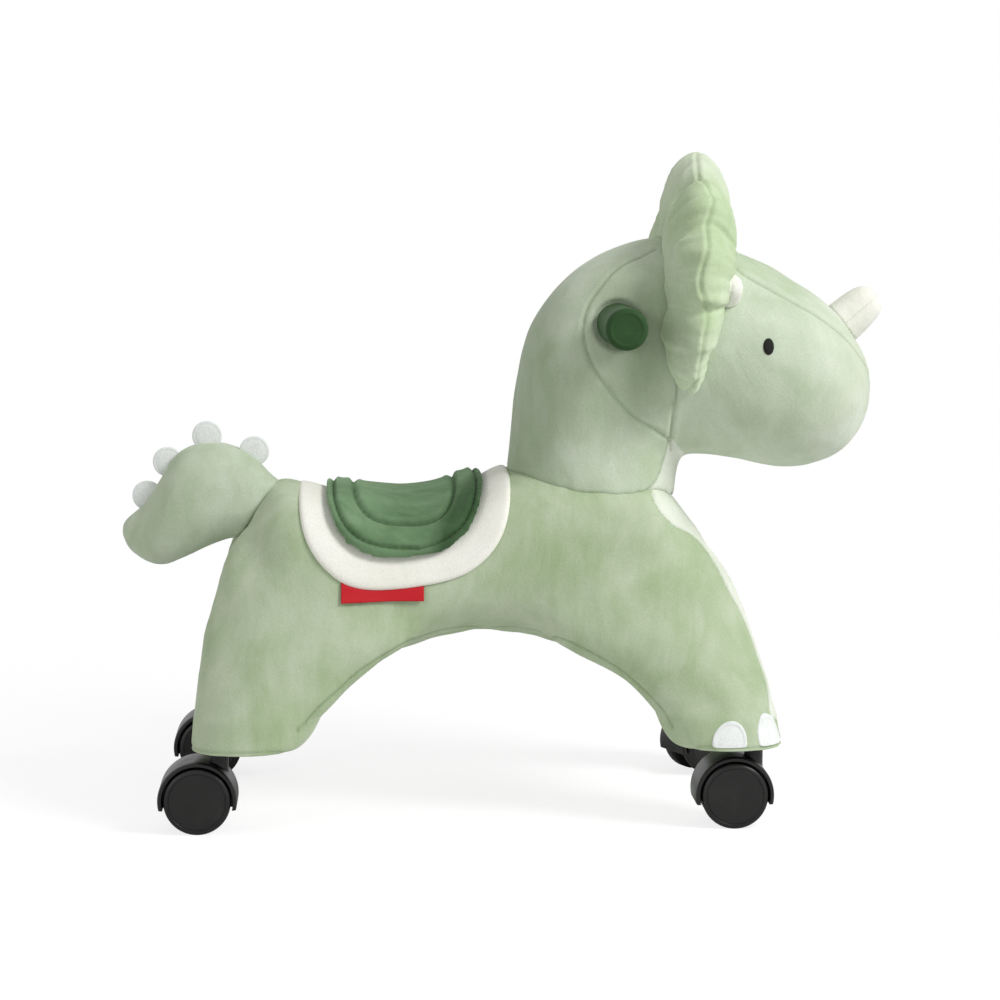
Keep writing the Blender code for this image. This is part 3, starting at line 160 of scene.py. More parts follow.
add_node(tree, "OutputMaterial", {"Surface": mixed.outputs[0]})
floor_mesh.materials.append(floor_paint)


# Body and legs: one cover of short-pile plush over firm stuffing, cut as two side panels
# that run down into the legs, a belly panel between them, and a cream chest panel.
def srgb(red, green, blue):
    """A colour as written on screen, 0 to 255, in the values that shaders take."""
    linear = []
    for value in (red, green, blue):
        share = value / 255
        linear.append(share / 12.92 if share <= 0.04045 else ((share + 0.055) / 1.055) ** 2.4)
    return (*linear, 1.0)


def shader_group(name, inputs, outputs):
    """A node group with named sockets, what it is given, and its output node."""
    group = bpy.data.node_groups.new(name, "ShaderNodeTree")
    for in_out, sockets in (("INPUT", inputs), ("OUTPUT", outputs)):
        for label, kind, *value in sockets:
            socket = group.interface.new_socket(label, in_out=in_out, socket_type="NodeSocket" + kind)
            if value:
                socket.default_value = value[0]
    return group, group.nodes.new("NodeGroupInput").outputs, group.nodes.new("NodeGroupOutput")


def spots(tree, place, size, detail, roughness=0.5):
    """Uneven soft spots, 0 to 1."""
    inputs = {"Vector": place, "Scale": size, "Detail": detail, "Roughness": roughness}
    return add_node(tree, "TexNoise", inputs).outputs["Fac"]


def blend(tree, share, colour, other):
    """One colour where the share is 0, and the other where it is 1."""
    return add_node(tree, "Mix", {0: share, 6: colour, 7: other}, data_type="RGBA").outputs[2]


# pile that was stroked different ways: pale where it stands, deeper where it lies flat
nap_group, given, put_out = shader_group(
    "brushed_nap",
    (
        ("Standing", "Color", (0.5, 0.5, 0.5, 1.0)),
        ("Lying", "Color", (0.4, 0.4, 0.4, 1.0)),
        ("Stroke Size", "Float", 14.0),
        ("Pile Size", "Float", 900.0),
    ),
    (("Colour", "Color"), ("Roughness", "Float"), ("Height", "Float")),
)
place = add_node(nap_group, "TexCoord").outputs["Object"]
drift = add_node(nap_group, "TexNoise", {"Vector": place, "Scale": 6.0, "Detail": 2.0}).outputs["Color"]
drift = add_node(nap_group, "VectorMath", {0: drift, 1: (0.5, 0.5, 0.5)}, operation="SUBTRACT")
drift = add_node(nap_group, "VectorMath", {0: drift.outputs[0], "Scale": 0.10}, operation="SCALE")
wandered = add_node(nap_group, "VectorMath", {0: place, 1: drift.outputs[0]}, operation="ADD").outputs[0]
wide = spots(nap_group, wandered, given["Stroke Size"], detail=2.5)
wide = spread(nap_group, wide, 0.36, 0.64, interpolation_type="SMOOTHSTEP")
stretched = add_node(nap_group, "Mapping", {"Vector": wandered, "Scale": (4.0, 4.0, 1.6)}).outputs[0]
strokes = spots(nap_group, stretched, given["Stroke Size"], detail=4.0, roughness=0.6)
strokes = spread(nap_group, strokes, 0.34, 0.66)
pile = spots(nap_group, place, given["Pile Size"], detail=3.0, roughness=0.75)
lying = add_node(nap_group, "Mix", {0: 0.42, 2: wide, 3: strokes}, data_type="FLOAT").outputs[0]
hue = blend(nap_group, lying, given["Standing"], given["Lying"])
speckle = spread(nap_group, pile, 0.3, 0.7, to=(0.90, 1.07))
speckled = add_node(nap_group, "VectorMath", {0: hue, "Scale": speckle}, operation="SCALE")
height = add_node(nap_group, "Mix", {0: 0.55, 2: pile, 3: strokes}, data_type="FLOAT")
fill_inputs(nap_group, put_out, {
    "Colour": speckled.outputs[0],
    "Roughness": spread(nap_group, lying, 0.0, 1.0, to=(1.0, 0.84)),
    "Height": height.outputs[0],
})


def new_material(name):
    """An empty material, its node tree and its Principled shader."""
    made = bpy.data.materials.new(name)
    tree = clear_nodes(made)
    shader = tree.nodes.new("ShaderNodeBsdfPrincipled")
    add_node(tree, "OutputMaterial", {"Surface": shader.outputs[0]})
    return made, tree, shader


def set_surface(tree, shader, colour, roughness, height, bump, depth, plain):
    """Links what changes over a surface to its shader, and sets what is the same all over."""
    raised = add_node(tree, "Bump", {"Height": height, "Strength": bump, "Distance": depth}).outputs[0]
    fill_inputs(tree, shader, {"Base Color": colour, "Roughness": roughness, "Normal": raised, **plain})


def plush(name, standing, lying, stroke_size=14.0, bump=0.5, sheen=0.35, tint=white, panel=None):
    """Short-pile plush; panel is a second (standing, lying) pair, where the cloth is marked."""
    made, tree, shader = new_material(name)

    def napped(standing, lying):
        inputs = {"Standing": standing, "Lying": lying, "Stroke Size": stroke_size}
        return add_node(tree, "Group", inputs, node_tree=nap_group).outputs

    nap = napped(standing, lying)
    hue = nap["Colour"]
    if panel:
        marked = add_node(tree, "Attribute", attribute_name="panel").outputs["Fac"]
        hue = blend(tree, marked, hue, napped(*panel)["Colour"])
    # darker where the seam layer is set: partly parted pile along seams and joints, partly painted shade in
    # their grooves, and painted shadow on the neck
    parted_and_shaded = add_node(tree, "Attribute", attribute_name="seam").outputs["Fac"]
    deep = add_node(tree, "VectorMath", {0: hue, 1: (0.50, 0.56, 0.46)}, operation="MULTIPLY")
    hue = blend(tree, parted_and_shaded, hue, deep.outputs[0])
    set_surface(tree, shader, hue, nap["Roughness"], nap["Height"], bump, 0.9 * MM, {
        "Specular IOR Level": 0.2, "Sheen Weight": sheen, "Sheen Roughness": 0.45, "Sheen Tint": tint,
    })
    return made


cream_pile = (srgb(232, 235, 224), srgb(216, 222, 206))
green_plush = plush(
    "green_plush", srgb(190, 202, 175), srgb(161, 181, 141),
    stroke_size=17.0, tint=srgb(234, 240, 226), panel=cream_pile,
)
stuffed_oval = 2.25
ring_sides, rings_between = 64, 8


def mm(points):
    """Points written in millimetres, in metres."""
    return np.array(points, float) * MM


def all_round(count):
    """Angles evenly spaced on a full turn."""
    return np.arange(count) * 2 * math.pi / count


def ramp(value, width):
    """Rises from 0 to 1 as a value goes from 0 to a width."""
    return np.clip(value / width, 0, 1)


def oval(angles, squareness, lower=None):
    """Cosine and sine on an oval, squarer than an ellipse above 2; its lower half may differ."""
    up, across = np.cos(angles), np.sin(angles)
    power = 2 / (squareness if lower is None else np.where(up > 0, squareness, lower))
    return [np.sign(v) * np.abs(v) ** power for v in (up, across)]


def knots_along(points):
    """How far along a path each of its points is."""
    gaps = np.linalg.norm(np.diff(points, axis=0), axis=1)
    return np.concatenate(([0.0], np.cumsum(gaps)))


def curve_through(rows, knots, places):
    """A smooth curve through rows at their knots, read off at the places."""
    slopes = np.gradient(rows, knots, axis=0)
    i = np.clip(np.searchsorted(knots, places, side="right") - 1, 0, len(knots) - 2)
    span = (knots[i + 1] - knots[i])[:, None]
    u = (places - knots[i])[:, None] / span
    return (
        (2 * u**3 - 3 * u**2 + 1) * rows[i]
        + (u**3 - 2 * u**2 + u) * span * slopes[i]
        + (3 * u**2 - 2 * u**3) * rows[i + 1]
        + (u**3 - u**2) * span * slopes[i + 1]
    )


def fair_rows(rows):
    """A form's rows with more between the given ones, on a smooth curve."""
    rows = np.array(rows, float)
    knots = knots_along((rows[:, 0:2] + rows[:, 2:4]) / 2)
    spans = [np.linspace(start, end, rings_between + 1) for start, end in zip(knots, knots[1:])]
    return curve_through(rows, knots, np.unique(np.concatenate(spans)))


def oval_rings(rows):
    """Rings of a stuffed form: each row is x, z of the lower edge, x, z of the upper, y, half width,
    and the squareness of its upper and lower half where they aren't plain."""
    rows = fair_rows(rows)
    if rows.shape[1] == 6:
        rows = np.hstack((rows, np.full((len(rows), 2), stuffed_oval)))
    up, across = oval(all_round(ring_sides), rows[:, 6:7], rows[:, 7:8])
    rings = np.empty((len(rows), ring_sides, 3))
    middle = (rows[:, 0:2] + rows[:, 2:4]) / 2
    depth = (rows[:, 2:4] - rows[:, 0:2]) / 2
    rings[:, :, 0] = middle[:, 0:1] + depth[:, 0:1] * up
    rings[:, :, 1] = rows[:, 4:5] + np.maximum(rows[:, 5:6], 0.0) * across
    rings[:, :, 2] = middle[:, 1:2] + depth[:, 1:2] * up
    return rings


def rework(mesh, change=None):
    """Changes a mesh face by face, then turns all its faces outward."""
    work = bmesh.new()
    work.from_mesh(mesh)
    if change:
        change(work)
    bmesh.ops.recalc_face_normals(work, faces=work.faces)
    work.to_mesh(mesh)
    work.free()


def ring_skin(rings):
    """A closed mesh through rings of equal count."""
    rings = np.array(rings, float)
    count, sides = rings.shape[:2]
    faces = []
    for j in range(count - 1):
        for k in range(sides):
            n = (k + 1) % sides
            faces.append((j * sides + k, j * sides + n, (j + 1) * sides + n, (j + 1) * sides + k))
    faces.append(tuple(range(sides))[::-1])
    faces.append(tuple((count - 1) * sides + k for k in range(sides)))
    mesh = bpy.data.meshes.new("skin")
    mesh.from_pydata(rings.reshape(-1, 3), [], faces)
    rework(mesh, lambda work: bmesh.ops.remove_doubles(work, verts=work.verts, dist=1e-6))
    return mesh


def add_piece(name, mesh):
    mesh.name = name
    return put_in_scene(name, mesh)


def settle(piece):
    """Puts the result of a piece's modifiers in its mesh."""
    graph = bpy.context.evaluated_depsgraph_get()
    shaped = bpy.data.meshes.new_from_object(piece.evaluated_get(graph))
    before = piece.data
    piece.modifiers.clear()
    piece.data = shaped
    shaped.name = before.name + "_cloth"
    bpy.data.meshes.remove(before)


def add_modifier(piece, kind, **settings):
    modifier = piece.modifiers.new(kind.lower(), kind)
    for name, value in settings.items():
        setattr(modifier, name, value)
    return modifier


def reshape(piece, kind, **settings):
    """Puts the result of one modifier in a piece's mesh."""
    add_modifier(piece, kind, **settings)
    settle(piece)


def recover(piece, cell):
    """Wraps a piece in one even net of faces."""
    reshape(piece, "REMESH", mode="VOXEL", voxel_size=cell, adaptivity=0)


def stroke_smooth(piece, rounds):
    reshape(piece, "SMOOTH", iterations=rounds, factor=0.5)


def refine(piece):
    reshape(piece, "SUBSURF", levels=1, render_levels=1)
    piece.data.shade_smooth()


def join_skins(name, skins):
    """One piece from several overlapping closed skins."""
    work = bmesh.new()
    for skin in skins:
        work.from_mesh(skin)
    mesh = bpy.data.meshes.new(name)
    work.to_mesh(mesh)
    work.free()
    return add_piece(name, mesh)


def read_vectors(source, name, count):
    vectors = np.empty(count * 3, np.float32)
    source.foreach_get(name, vectors)
    return vectors.reshape(-1, 3).astype(float)


def coords_of(mesh):
    return read_vectors(mesh.vertices, "co", len(mesh.vertices))


def normals_of(mesh):
    return read_vectors(mesh.vertex_normals, "vector", len(mesh.vertices))


def set_coords(mesh, coords):
    mesh.vertices.foreach_set("co", coords.astype(np.float32).ravel())
    mesh.update()


def layer_of(mesh, name):
    """The named value that each point of the cloth carries, zero at first."""
    if name not in mesh.attributes:
        mesh.attributes.new(name, "FLOAT", "POINT")
    return mesh.attributes[name].data


def values_of(mesh, name):
    values = np.empty(len(mesh.vertices), np.float32)
    layer_of(mesh, name).foreach_get("value", values)
    return values


def set_values(mesh, name, values):
    layer_of(mesh, name).foreach_set("value", values.astype(np.float32))


def stuff(piece, pressure, most):
    """Blows the cover up a little as stuffing does; no point moves further than most."""
    frames, stiffness = 20, 15.0
    before = coords_of(piece.data)
    scene = bpy.context.scene
    scene.frame_set(1)
    cover = add_modifier(piece, "CLOTH")
    cover.settings.quality = 4
    cover.settings.use_pressure = True
    cover.settings.uniform_pressure_force = pressure
    cover.settings.tension_stiffness = stiffness
    cover.settings.compression_stiffness = stiffness
    cover.settings.bending_stiffness = 0.5
    cover.settings.effector_weights.gravity = 0
    cover.collision_settings.use_collision = False
    cover.collision_settings.use_self_collision = False
    cover.point_cache.frame_start = 1
    cover.point_cache.frame_end = frames
    for frame_number in range(1, frames + 1):
        scene.frame_set(frame_number)
    settle(piece)
    scene.frame_set(1)
    moved = coords_of(piece.data) - before
    length = np.linalg.norm(moved, axis=1, keepdims=True)
    set_coords(piece.data, before + moved * np.minimum(1.0, most / np.maximum(length, 1e-9)))


def unevenness(piece, height, size, seed):
    """The slight lumps of hand stuffing."""
    coords = coords_of(piece.data)
    normals = normals_of(piece.data)
    lumps = np.array([noise.noise(Vector(c) / size + Vector((seed, 2.7, 5.1))) for c in coords])
    set_coords(piece.data, coords + normals * (height * lumps)[:, None])


# trunk rings: x, underside z, back z, half width, and how square the upper and lower half are
trunk_rings = (
    (-223.0, 165.0, 165.0, 0.0, 2.25, 2.25), (-219.5, 150.0, 179.5, 25.8, 2.25, 2.25),
    (-212.0, 142.3, 193.5, 42.1, 2.25, 2.25), (-203.0, 140.1, 209.0, 54.2, 2.25, 2.3),
    (-189.1, 139.5, 232.5, 67.1, 2.25, 2.5), (-170.7, 138.5, 251.2, 78.3, 2.25, 2.8),
    (-150.2, 137.0, 246.8, 84.3, 2.25, 3.2), (-119.4, 130.5, 235.8, 86.0, 2.25, 3.7),
    (-80.5, 130.8, 231.4, 86.0, 2.25, 4.0), (-49.7, 138.0, 232.5, 85.1, 2.3, 4.2),
    (-25.1, 141.2, 241.3, 84.3, 2.5, 4.2), (-0.5, 140.6, 255.6, 82.7, 2.9, 4.2),
    (40.5, 133.8, 261.1, 81.0, 3.4, 3.8), (89.7, 130.5, 257.8, 79.3, 3.5, 3.2),
    (124.6, 135.5, 247.9, 73.2, 3.1, 2.6), (143.0, 140.5, 225.9, 61.9, 2.6, 2.3),
    (157.4, 145.7, 207.2, 51.6, 2.3, 2.25), (167.6, 148.9, 189.6, 41.3, 2.25, 2.25),
    (177.9, 152.2, 174.2, 28.4, 2.25, 2.25), (184.0, 162.1, 162.1, 0.0, 2.25, 2.25),
)
# leg rings: height over the foot's sole, rear and front edge from its middle, inner and outer side
# from its stem
rear_leg_rings = (
    (0.0, -37, 37, -34, 32), (4.7, -39, 41, -36, 33.5), (14.2, -38, 49, -38, 31),
    (28.3, -36, 65, -42, 24), (48.4, -34, 87, -49, 16), (63.7, -32, 108, -55, 10),
    (77.9, -30, 130, -62, 4), (97.9, -27, 148, -71, -6), (118.0, -23, 150, -78, -13),
    (135.0, -17, 135, -80, -26), (150.0, -8, 100, -80, -42), (162.0, 6, 60, -80, -60),
)
front_leg_rings = (
    (0.0, -38, 36.5, -34, 32), (4.7, -43, 37, -36, 33.5), (14.2, -50, 35, -38, 31),
    (28.3, -61, 32, -42, 24), (48.4, -84, 28, -49, 16), (63.7, -112, 24, -55, 10),
    (77.9, -138, 20, -62, 4), (97.9, -160, 13, -71, -6), (118.0, -150, 5, -76, -14),
    (135.0, -125, -5, -78, -25), (150.0, -100, -19, -80, -40), (163.0, -86, -36, -80, -58),
)
sole_z = 61.6 * MM
rear_leg_x, front_leg_x, half_track = -199 * MM, 172 * MM, 100 * MM
legs = []
for side in (1, -1):
    legs += [(rear_leg_rings, rear_leg_x, side), (front_leg_rings, front_leg_x, side)]
trunk_rows = [
    (x * MM, low * MM, x * MM, high * MM, 0, half * MM, above, under)
    for x, low, high, half, above, under in trunk_rings
]


def leg_rows(rings, middle_x, side):
    rows = []
    for rise, rear, front, inner, outer in mm(rings):
        z = sole_z + rise
        middle_y = side * (half_track + (inner + outer) / 2)
        rows.append((middle_x + front, z, middle_x + rear, z, middle_y, (outer - inner) / 2))
    return rows


body_forms = [trunk_rows, *(leg_rows(*leg) for leg in legs)]
body = join_skins("body_cover", [ring_skin(oval_rings(rows)) for rows in body_forms])
recover(body, cell=4 * MM)
stroke_smooth(body, rounds=14)
# the hips, and the arch where the legs run in to the belly, are drawn more even than the rest
x, y, z = coords_of(body.data).T
hips = ramp(z - 150 * MM, 15 * MM) * ramp(252 * MM - z, 20 * MM) * ramp(np.abs(y) - 35 * MM, 15 * MM)
hips = hips * ramp(145 * MM - x, 40 * MM)
from_leg = np.minimum(np.abs(x + 70 * MM), np.abs(x - 46 * MM))
arch = ramp(162 * MM - z, 10 * MM) * np.maximum(0.0, 1 - from_leg / (32 * MM))
for label, weights, rounds in (("hips", hips, 70), ("arch", arch, 40)):
    group = body.vertex_groups.new(name=label)
    for v in np.flatnonzero(weights):
        group.add([int(v)], weights[v], "REPLACE")
    add_modifier(body, "SMOOTH", iterations=rounds, factor=0.5, vertex_group=label)
settle(body)
stuff(body, pressure=1.5, most=2.5 * MM)
unevenness(body, height=1.6 * MM, size=75 * MM, seed=1.0)
unevenness(body, height=0.8 * MM, size=24 * MM, seed=4.0)
# the stuffing sags a little where the legs leave the belly: how far, along x
belly_sag = mm((
    (-112, 0.0), (-96, 1.2), (-80, 3.8), (-65, 2.6), (-48, 1.4), (-30, 0.0),
    (26, 0.0), (42, 3.2), (57, 3.4), (73, 1.6), (90, 0.0),
))
coords = coords_of(body.data)
sag = np.interp(coords[:, 0], belly_sag[:, 0], belly_sag[:, 1])
coords[:, 2] -= sag * ramp(185 * MM - coords[:, 2], 35 * MM)
set_coords(body.data, coords)
refine(body)

# the feet stand down to the soles, and each sole is turned up round the plate that the castor's
# tube stands on
foot_height, sole_swell = 22 * MM, 0.9 * MM
plate_half_x, plate_half_y, plate_rise = 28.8 * MM, 23.8 * MM, 5.4 * MM
coords = coords_of(body.data)
lowest = coords[:, 2].min()
low = coords[:, 2] < sole_z + foot_height
share = (coords[low, 2] - lowest) / (sole_z + foot_height - lowest)
coords[low, 2] = sole_z + foot_height * share**2.6 - sole_swell * (1 - share)
for _, stem_x, side in legs:
    off_x = np.abs(coords[:, 0] - stem_x) / plate_half_x
    off_y = np.abs(coords[:, 1] - side * half_track) / plate_half_y
    over_plate = (off_x**4 + off_y**4 < 1) & (coords[:, 2] < sole_z + plate_rise)
    coords[over_plate, 2] = sole_z + plate_rise
set_coords(body.data, coords)

# seams are laid as lines of points this far apart
line_step = 0.8 * MM


def skin_tree(mesh):
    return BVHTree.FromPolygons([v.co for v in mesh.vertices], [p.vertices for p in mesh.polygons])


def in_sight(mesh, points, plane):
    """Points (x, z) seen in an upright plane, in mm, put where the line of sight meets a skin."""
    skin = skin_tree(mesh)
    found = []
    for x, z in points:
        seen = Vector((x * MM, plane * MM, z * MM))
        sight = (seen - camera.location).normalized()
        hit, _, _, _ = skin.ray_cast(camera.location, sight)
        if hit is None or (hit - seen).length > 70 * MM:
            hit = skin.find_nearest(seen)[0]
        found.append(hit)
    return np.array(found, float)


def lay_line(mesh, points):
    """A line of points at even steps, each put on the nearest place of a skin."""
    skin = skin_tree(mesh)
    points = np.array(points, float)
    knots = knots_along(points)
    places = np.linspace(0, knots[-1], max(2, int(knots[-1] / line_step)))
    return np.array([skin.find_nearest(Vector(p))[0] for p in curve_through(points, knots, places)])


def sew_line(piece, points, width, depth, shade, swell=0.0, stitch=0.0):
    """Draws the cloth in along a sewn line, with the stuffing standing up beside it; long stitches
    pull it in deeper where the thread goes through. Sizes are in mm. It returns the line as laid."""
    width, depth, swell = width * MM, depth * MM, swell * MM
    mesh = piece.data
    line = lay_line(mesh, points)
    coords = coords_of(mesh)
    low, high = line.min(axis=0) - 4 * width, line.max(axis=0) + 4 * width
    near = np.flatnonzero(((coords > low) & (coords < high)).all(axis=1))
    tree = KDTree(len(line))
    for i, point in enumerate(line):
        tree.insert(point, i)
    tree.balance()
    nearest = [tree.find(coords[v]) for v in near]
    away = np.array([found[2] for found in nearest])
    pull = np.exp(-((away / width) ** 2))
    if stitch:
        along = np.array([found[1] for found in nearest]) * line_step
        pull *= 1 + 0.13 * np.cos(2 * math.pi * along / (stitch * MM))
    stand = np.exp(-(((away - 2.2 * width) / width) ** 2))
    coords[near] += normals_of(mesh)[near] * (swell * stand - depth * pull)[:, None]
    set_coords(mesh, coords)
    # the line is darkened: partly the parted pile, partly painted shade in the groove
    values = values_of(mesh, "seam")
    dark = np.exp(-((away / (0.7 * width)) ** 2)) * shade
    values[near] = np.maximum(values[near], dark)
    set_values(mesh, "seam", values)
    return line


def sew_both_sides(piece, points, **fold):
    """Sews a line on the right side and its mirror image, and returns the first as laid."""
    laid = sew_line(piece, points, **fold)
    sew_line(piece, points * (1, -1, 1), **fold)
    return laid


def ahead_of(coords, edge):
    """How far points lie in front of an edge, each at its own height."""
    order = np.argsort(edge[:, 2])
    return coords[:, 0] - np.interp(coords[:, 2], edge[order, 2], edge[order, 0])


def inside_panel(inside):
    """The mark of a panel from the distance inside its edge, which is 0.6 mm soft."""
    return np.clip(inside / (0.6 * MM) + 0.5, 0, 1)


def finish(piece, material, body_name, slot, *nodes):
    """Gives a piece its material and its body, and hides the CAD nodes that it stands for; slot is not used.
    """
    piece.data.materials.clear()
    piece.data.materials.append(material)
    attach(piece, body_name)
    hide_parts(*nodes)


def dress(piece, material, slot, nodes):
    """Finishes a stuffed piece of the animal."""
    values_of(piece.data, "seam")
    piece.data.shade_smooth()
    finish(piece, material, "animal", slot, *nodes)


# the seam round the belly arch, from the rear foot over the belly to the front foot
belly_seam = in_sight(body.data, (
    (-157, 70), (-150.6, 77), (-140, 88.4), (-124.8, 102), (-109.7, 115.5), (-94.6, 125.5), (-79.5, 134.3),
    (-64.5, 141), (-45.6, 146.6), (-26.8, 148.5), (-0.4, 148), (14.7, 146.5), (29.8, 142.8), (41.1, 138.8),
    (58.3, 131.2), (78.3, 119.8), (95.8, 107), (105.8, 97.5), (117.3, 85.5), (126.5, 70),
), plane=-80)
sew_both_sides(body, belly_seam, width=1.6, depth=0.9, shade=0.8, swell=0.3)
# the seam down the middle of the back and the rump
spine_seam = mm(((-214, 0, 190), (-206, 0, 208), (-192, 0, 232), (-172, 0, 252), (-150, 0, 248)))
sew_line(body, spine_seam, width=1.8, depth=1.0, shade=0.6)
# the seam round each sole
for rings, middle_x, side in legs:
    low, high = mm(rings[:2])
    _, rear, front, inner, outer = (low + high) / 2
    up, across = oval(np.linspace(0, 2 * math.pi, 60), stuffed_oval)
    sole_x = middle_x + (rear + front) / 2 + (rear - front) / 2 * up
    sole_y = side * (half_track + (inner + outer) / 2) + (outer - inner) / 2 * across
    sole_seam = np.stack((sole_x, sole_y, np.full(len(up), sole_z + 2.6 * MM)), axis=1)
    sew_line(body, sole_seam, width=1.4, depth=0.8, shade=0.6)

# the cream chest panel, which goes on as a strip down the front of each front leg
panel_end = 81 * MM
chest_edge = in_sight(body.data, (
    (112.5, 247), (113.5, 242), (119.3, 232), (127, 224), (143.8, 214.3), (153.8, 203.5), (163.9, 187.3),
    (171, 173), (180, 157), (189, 137), (198, 111), (203, 92), (204, 80),
), plane=-60)
coords = coords_of(body.data)
inside = ahead_of(coords, lay_line(body.data, chest_edge))
inside[coords[:, 2] < panel_end] = -1
set_values(body.data, "panel", inside_panel(inside))
sew_both_sides(body, chest_edge, width=1.6, depth=1.0, shade=0.5)
leg_nodes = ["leg_rear_left", "leg_rear_right", "leg_front_left", "leg_front_right"]
dress(body, green_plush, "green_plush", ["torso", *leg_nodes])
body_tree = skin_tree(body.data)


# Neck and head: plush panels over stuffing. The face is sewn to the neck by an upright seam,
# a gusset runs over the crown to the nose, and the neck is sewn down on the back.
neck_rings = (
    (131.0, 216.6, -2.0, 223.6, 69.8), (134.0, 241.7, 4.1, 255.7, 69.1), (135.9, 256.6, 9.0, 291.6, 66.2),
    (137.5, 263.6, 14.0, 331.6, 65.5), (138.5, 267.2, 23.0, 369.6, 67.0), (139.3, 269.0, 44.0, 400.5, 69.1),
    (139.7, 269.9, 78.0, 425.6, 71.3), (139.9, 270.6, 114.0, 437.6, 72.0), (140.0, 271.0, 140.0, 436.7, 72.0),
)
head_rings = (
    (138.0, 271.0, 437.4, 72.5), (160.8, 270.1, 433.9, 76.4), (182.7, 266.6, 426.8, 78.0),
    (205.4, 261.6, 417.0, 76.8), (225.1, 260.4, 405.5, 74.1), (245.5, 263.9, 392.3, 67.9),
    (260.1, 270.1, 379.0, 60.1), (272.5, 281.6, 363.9, 48.4), (281.3, 297.6, 349.8, 33.5),
    (284.9, 310.0, 340.0, 21.1), (286.4, 325.9, 325.9, 0.0),
)
neck_rows = np.insert(mm(neck_rings), 4, 0.0, axis=1)
head_rows = [(x, low, x, high, 0, half) for x, low, high, half in mm(head_rings)]


def slimmer(rows, overlap):
    """The skin of a form's rows, drawn in all round by a seam's overlap."""
    rows = np.array(rows, float)
    middle = (rows[:, 0:2] + rows[:, 2:4]) / 2
    reach = rows[:, 2:4] - middle
    length = np.linalg.norm(reach, axis=1, keepdims=True)
    reach = reach * np.maximum(length - overlap, 0.3 * MM) / np.maximum(length, 1e-9)
    rows[:, 0:2], rows[:, 2:4] = middle - reach, middle + reach
    rows[:, 5] = np.maximum(rows[:, 5] - overlap, 0.3 * MM)
    return ring_skin(oval_rings(rows))


def carve(piece, shape, operation="DIFFERENCE"):
    """Cuts a closed shape out of a piece, or joins it on."""
    tool = add_piece("tool", shape)
    reshape(piece, "BOOLEAN", solver="EXACT", operation=operation, object=tool)
    bpy.data.objects.remove(tool)


def trim(piece, rows, overlap=4 * MM):
    """Cuts a piece where another form takes its place, with a seam's overlap left on."""
    carve(piece, slimmer(rows, overlap))


def sew_down(piece, tree, width=1.3, depth=0.8, shade=0.7):
    """Tucks a piece in where it is sewn to another cover; the sizes are in mm."""
    coords = coords_of(piece.data)
    normals = normals_of(piece.data)
    values = values_of(piece.data, "seam")
    for v, co in enumerate(coords):
        hit, _, _, away = tree.find_nearest(co, 3 * (width * MM))
        if hit is not None:
            near = math.exp(-((away / (width * MM)) ** 2))
            coords[v] -= normals[v] * (depth * MM) * near
            values[v] = max(values[v], shade * near)
    set_coords(piece.data, coords)
    set_values(piece.data, "seam", values)


neck = add_piece("neck_form", ring_skin(oval_rings(neck_rows)))
trim(neck, trunk_rows)
head = join_skins("head_cover", [neck.data, ring_skin(oval_rings(head_rows))])
bpy.data.objects.remove(neck)
recover(head, cell=3.5 * MM)
stroke_smooth(head, rounds=8)
stuff(head, pressure=1.5, most=2.5 * MM)
unevenness(head, height=1.4 * MM, size=70 * MM, seed=7.0)
unevenness(head, height=0.6 * MM, size=22 * MM, seed=9.0)
refine(head)

# the cover dips in round the handlebar, where each grip comes out of the neck
bar_x, bar_z = 86 * MM, 374.3 * MM
coords = coords_of(head.data)
from_bar = np.hypot(coords[:, 0] - bar_x, coords[:, 2] - bar_z)
dip = ramp(21 * MM - from_bar, 6 * MM)
dip = np.where(np.abs(coords[:, 1]) > 40 * MM, 5 * MM * dip * dip * (3 - 2 * dip), 0)
coords[:, 1] -= np.sign(coords[:, 1]) * dip
set_coords(head.data, coords)

cheek_seam = in_sight(head.data, (
    (113, 431), (104.9, 427), (85.5, 417.4), (72.7, 403.9), (62.4, 388.5), (58.9, 372.4), (60.6, 359.5),
    (68.1, 340.1), (79.5, 323.9), (95.8, 306.9), (112.1, 296.1), (125.2, 287.5),
), plane=-68)
gusset_start = in_sight(head.data, (
    (165, 428), (174, 418.5), (182.4, 411.1), (193.3, 404.8), (204.8, 398.4), (217.6, 391.5), (230.4, 384.5),
    (240.6, 378.2), (249.6, 371.8), (256.1, 366.7),
), plane=-50)
gusset_end = mm((
    (264, -43, 358.5), (272, -38, 349.5), (280.5, -30, 338.5), (285, -20.5, 328), (288, -10.5, 318),
    (289, 0, 308),
))
gusset_seam = np.concatenate((gusset_start, gusset_end))
face_seam = in_sight(head.data, (
    (131, 334), (130.8, 324.7), (129.2, 313.3), (127.5, 300.3), (126.1, 287.2), (126.8, 279),
), plane=-60)
throat_edge = in_sight(head.data, (
    (125.7, 287.4), (122, 275.5), (116, 257), (112.3, 245.8), (110, 236),
), plane=-60)
chin_seam = mm((
    (137, 0, 268), (150, 0, 262), (175, 0, 258), (205, 0, 252), (225, 0, 252), (250, 0, 258),
    (268, 0, 272), (282, 0, 293), (289, 0, 308),
))
sew_both_sides(head, cheek_seam, width=1.7, depth=1.2, shade=0.7, swell=0.25)
sew_both_sides(head, gusset_seam, width=1.7, depth=1.1, shade=0.6, swell=0.25)
sew_both_sides(head, face_seam, width=1.6, depth=1.3, shade=0.8, swell=0.25)
throat_line = sew_both_sides(head, throat_edge, width=1.5, depth=1.0, shade=0.5, swell=0.25)
sew_line(head, chin_seam, width=1.6, depth=0.9, shade=0.5)
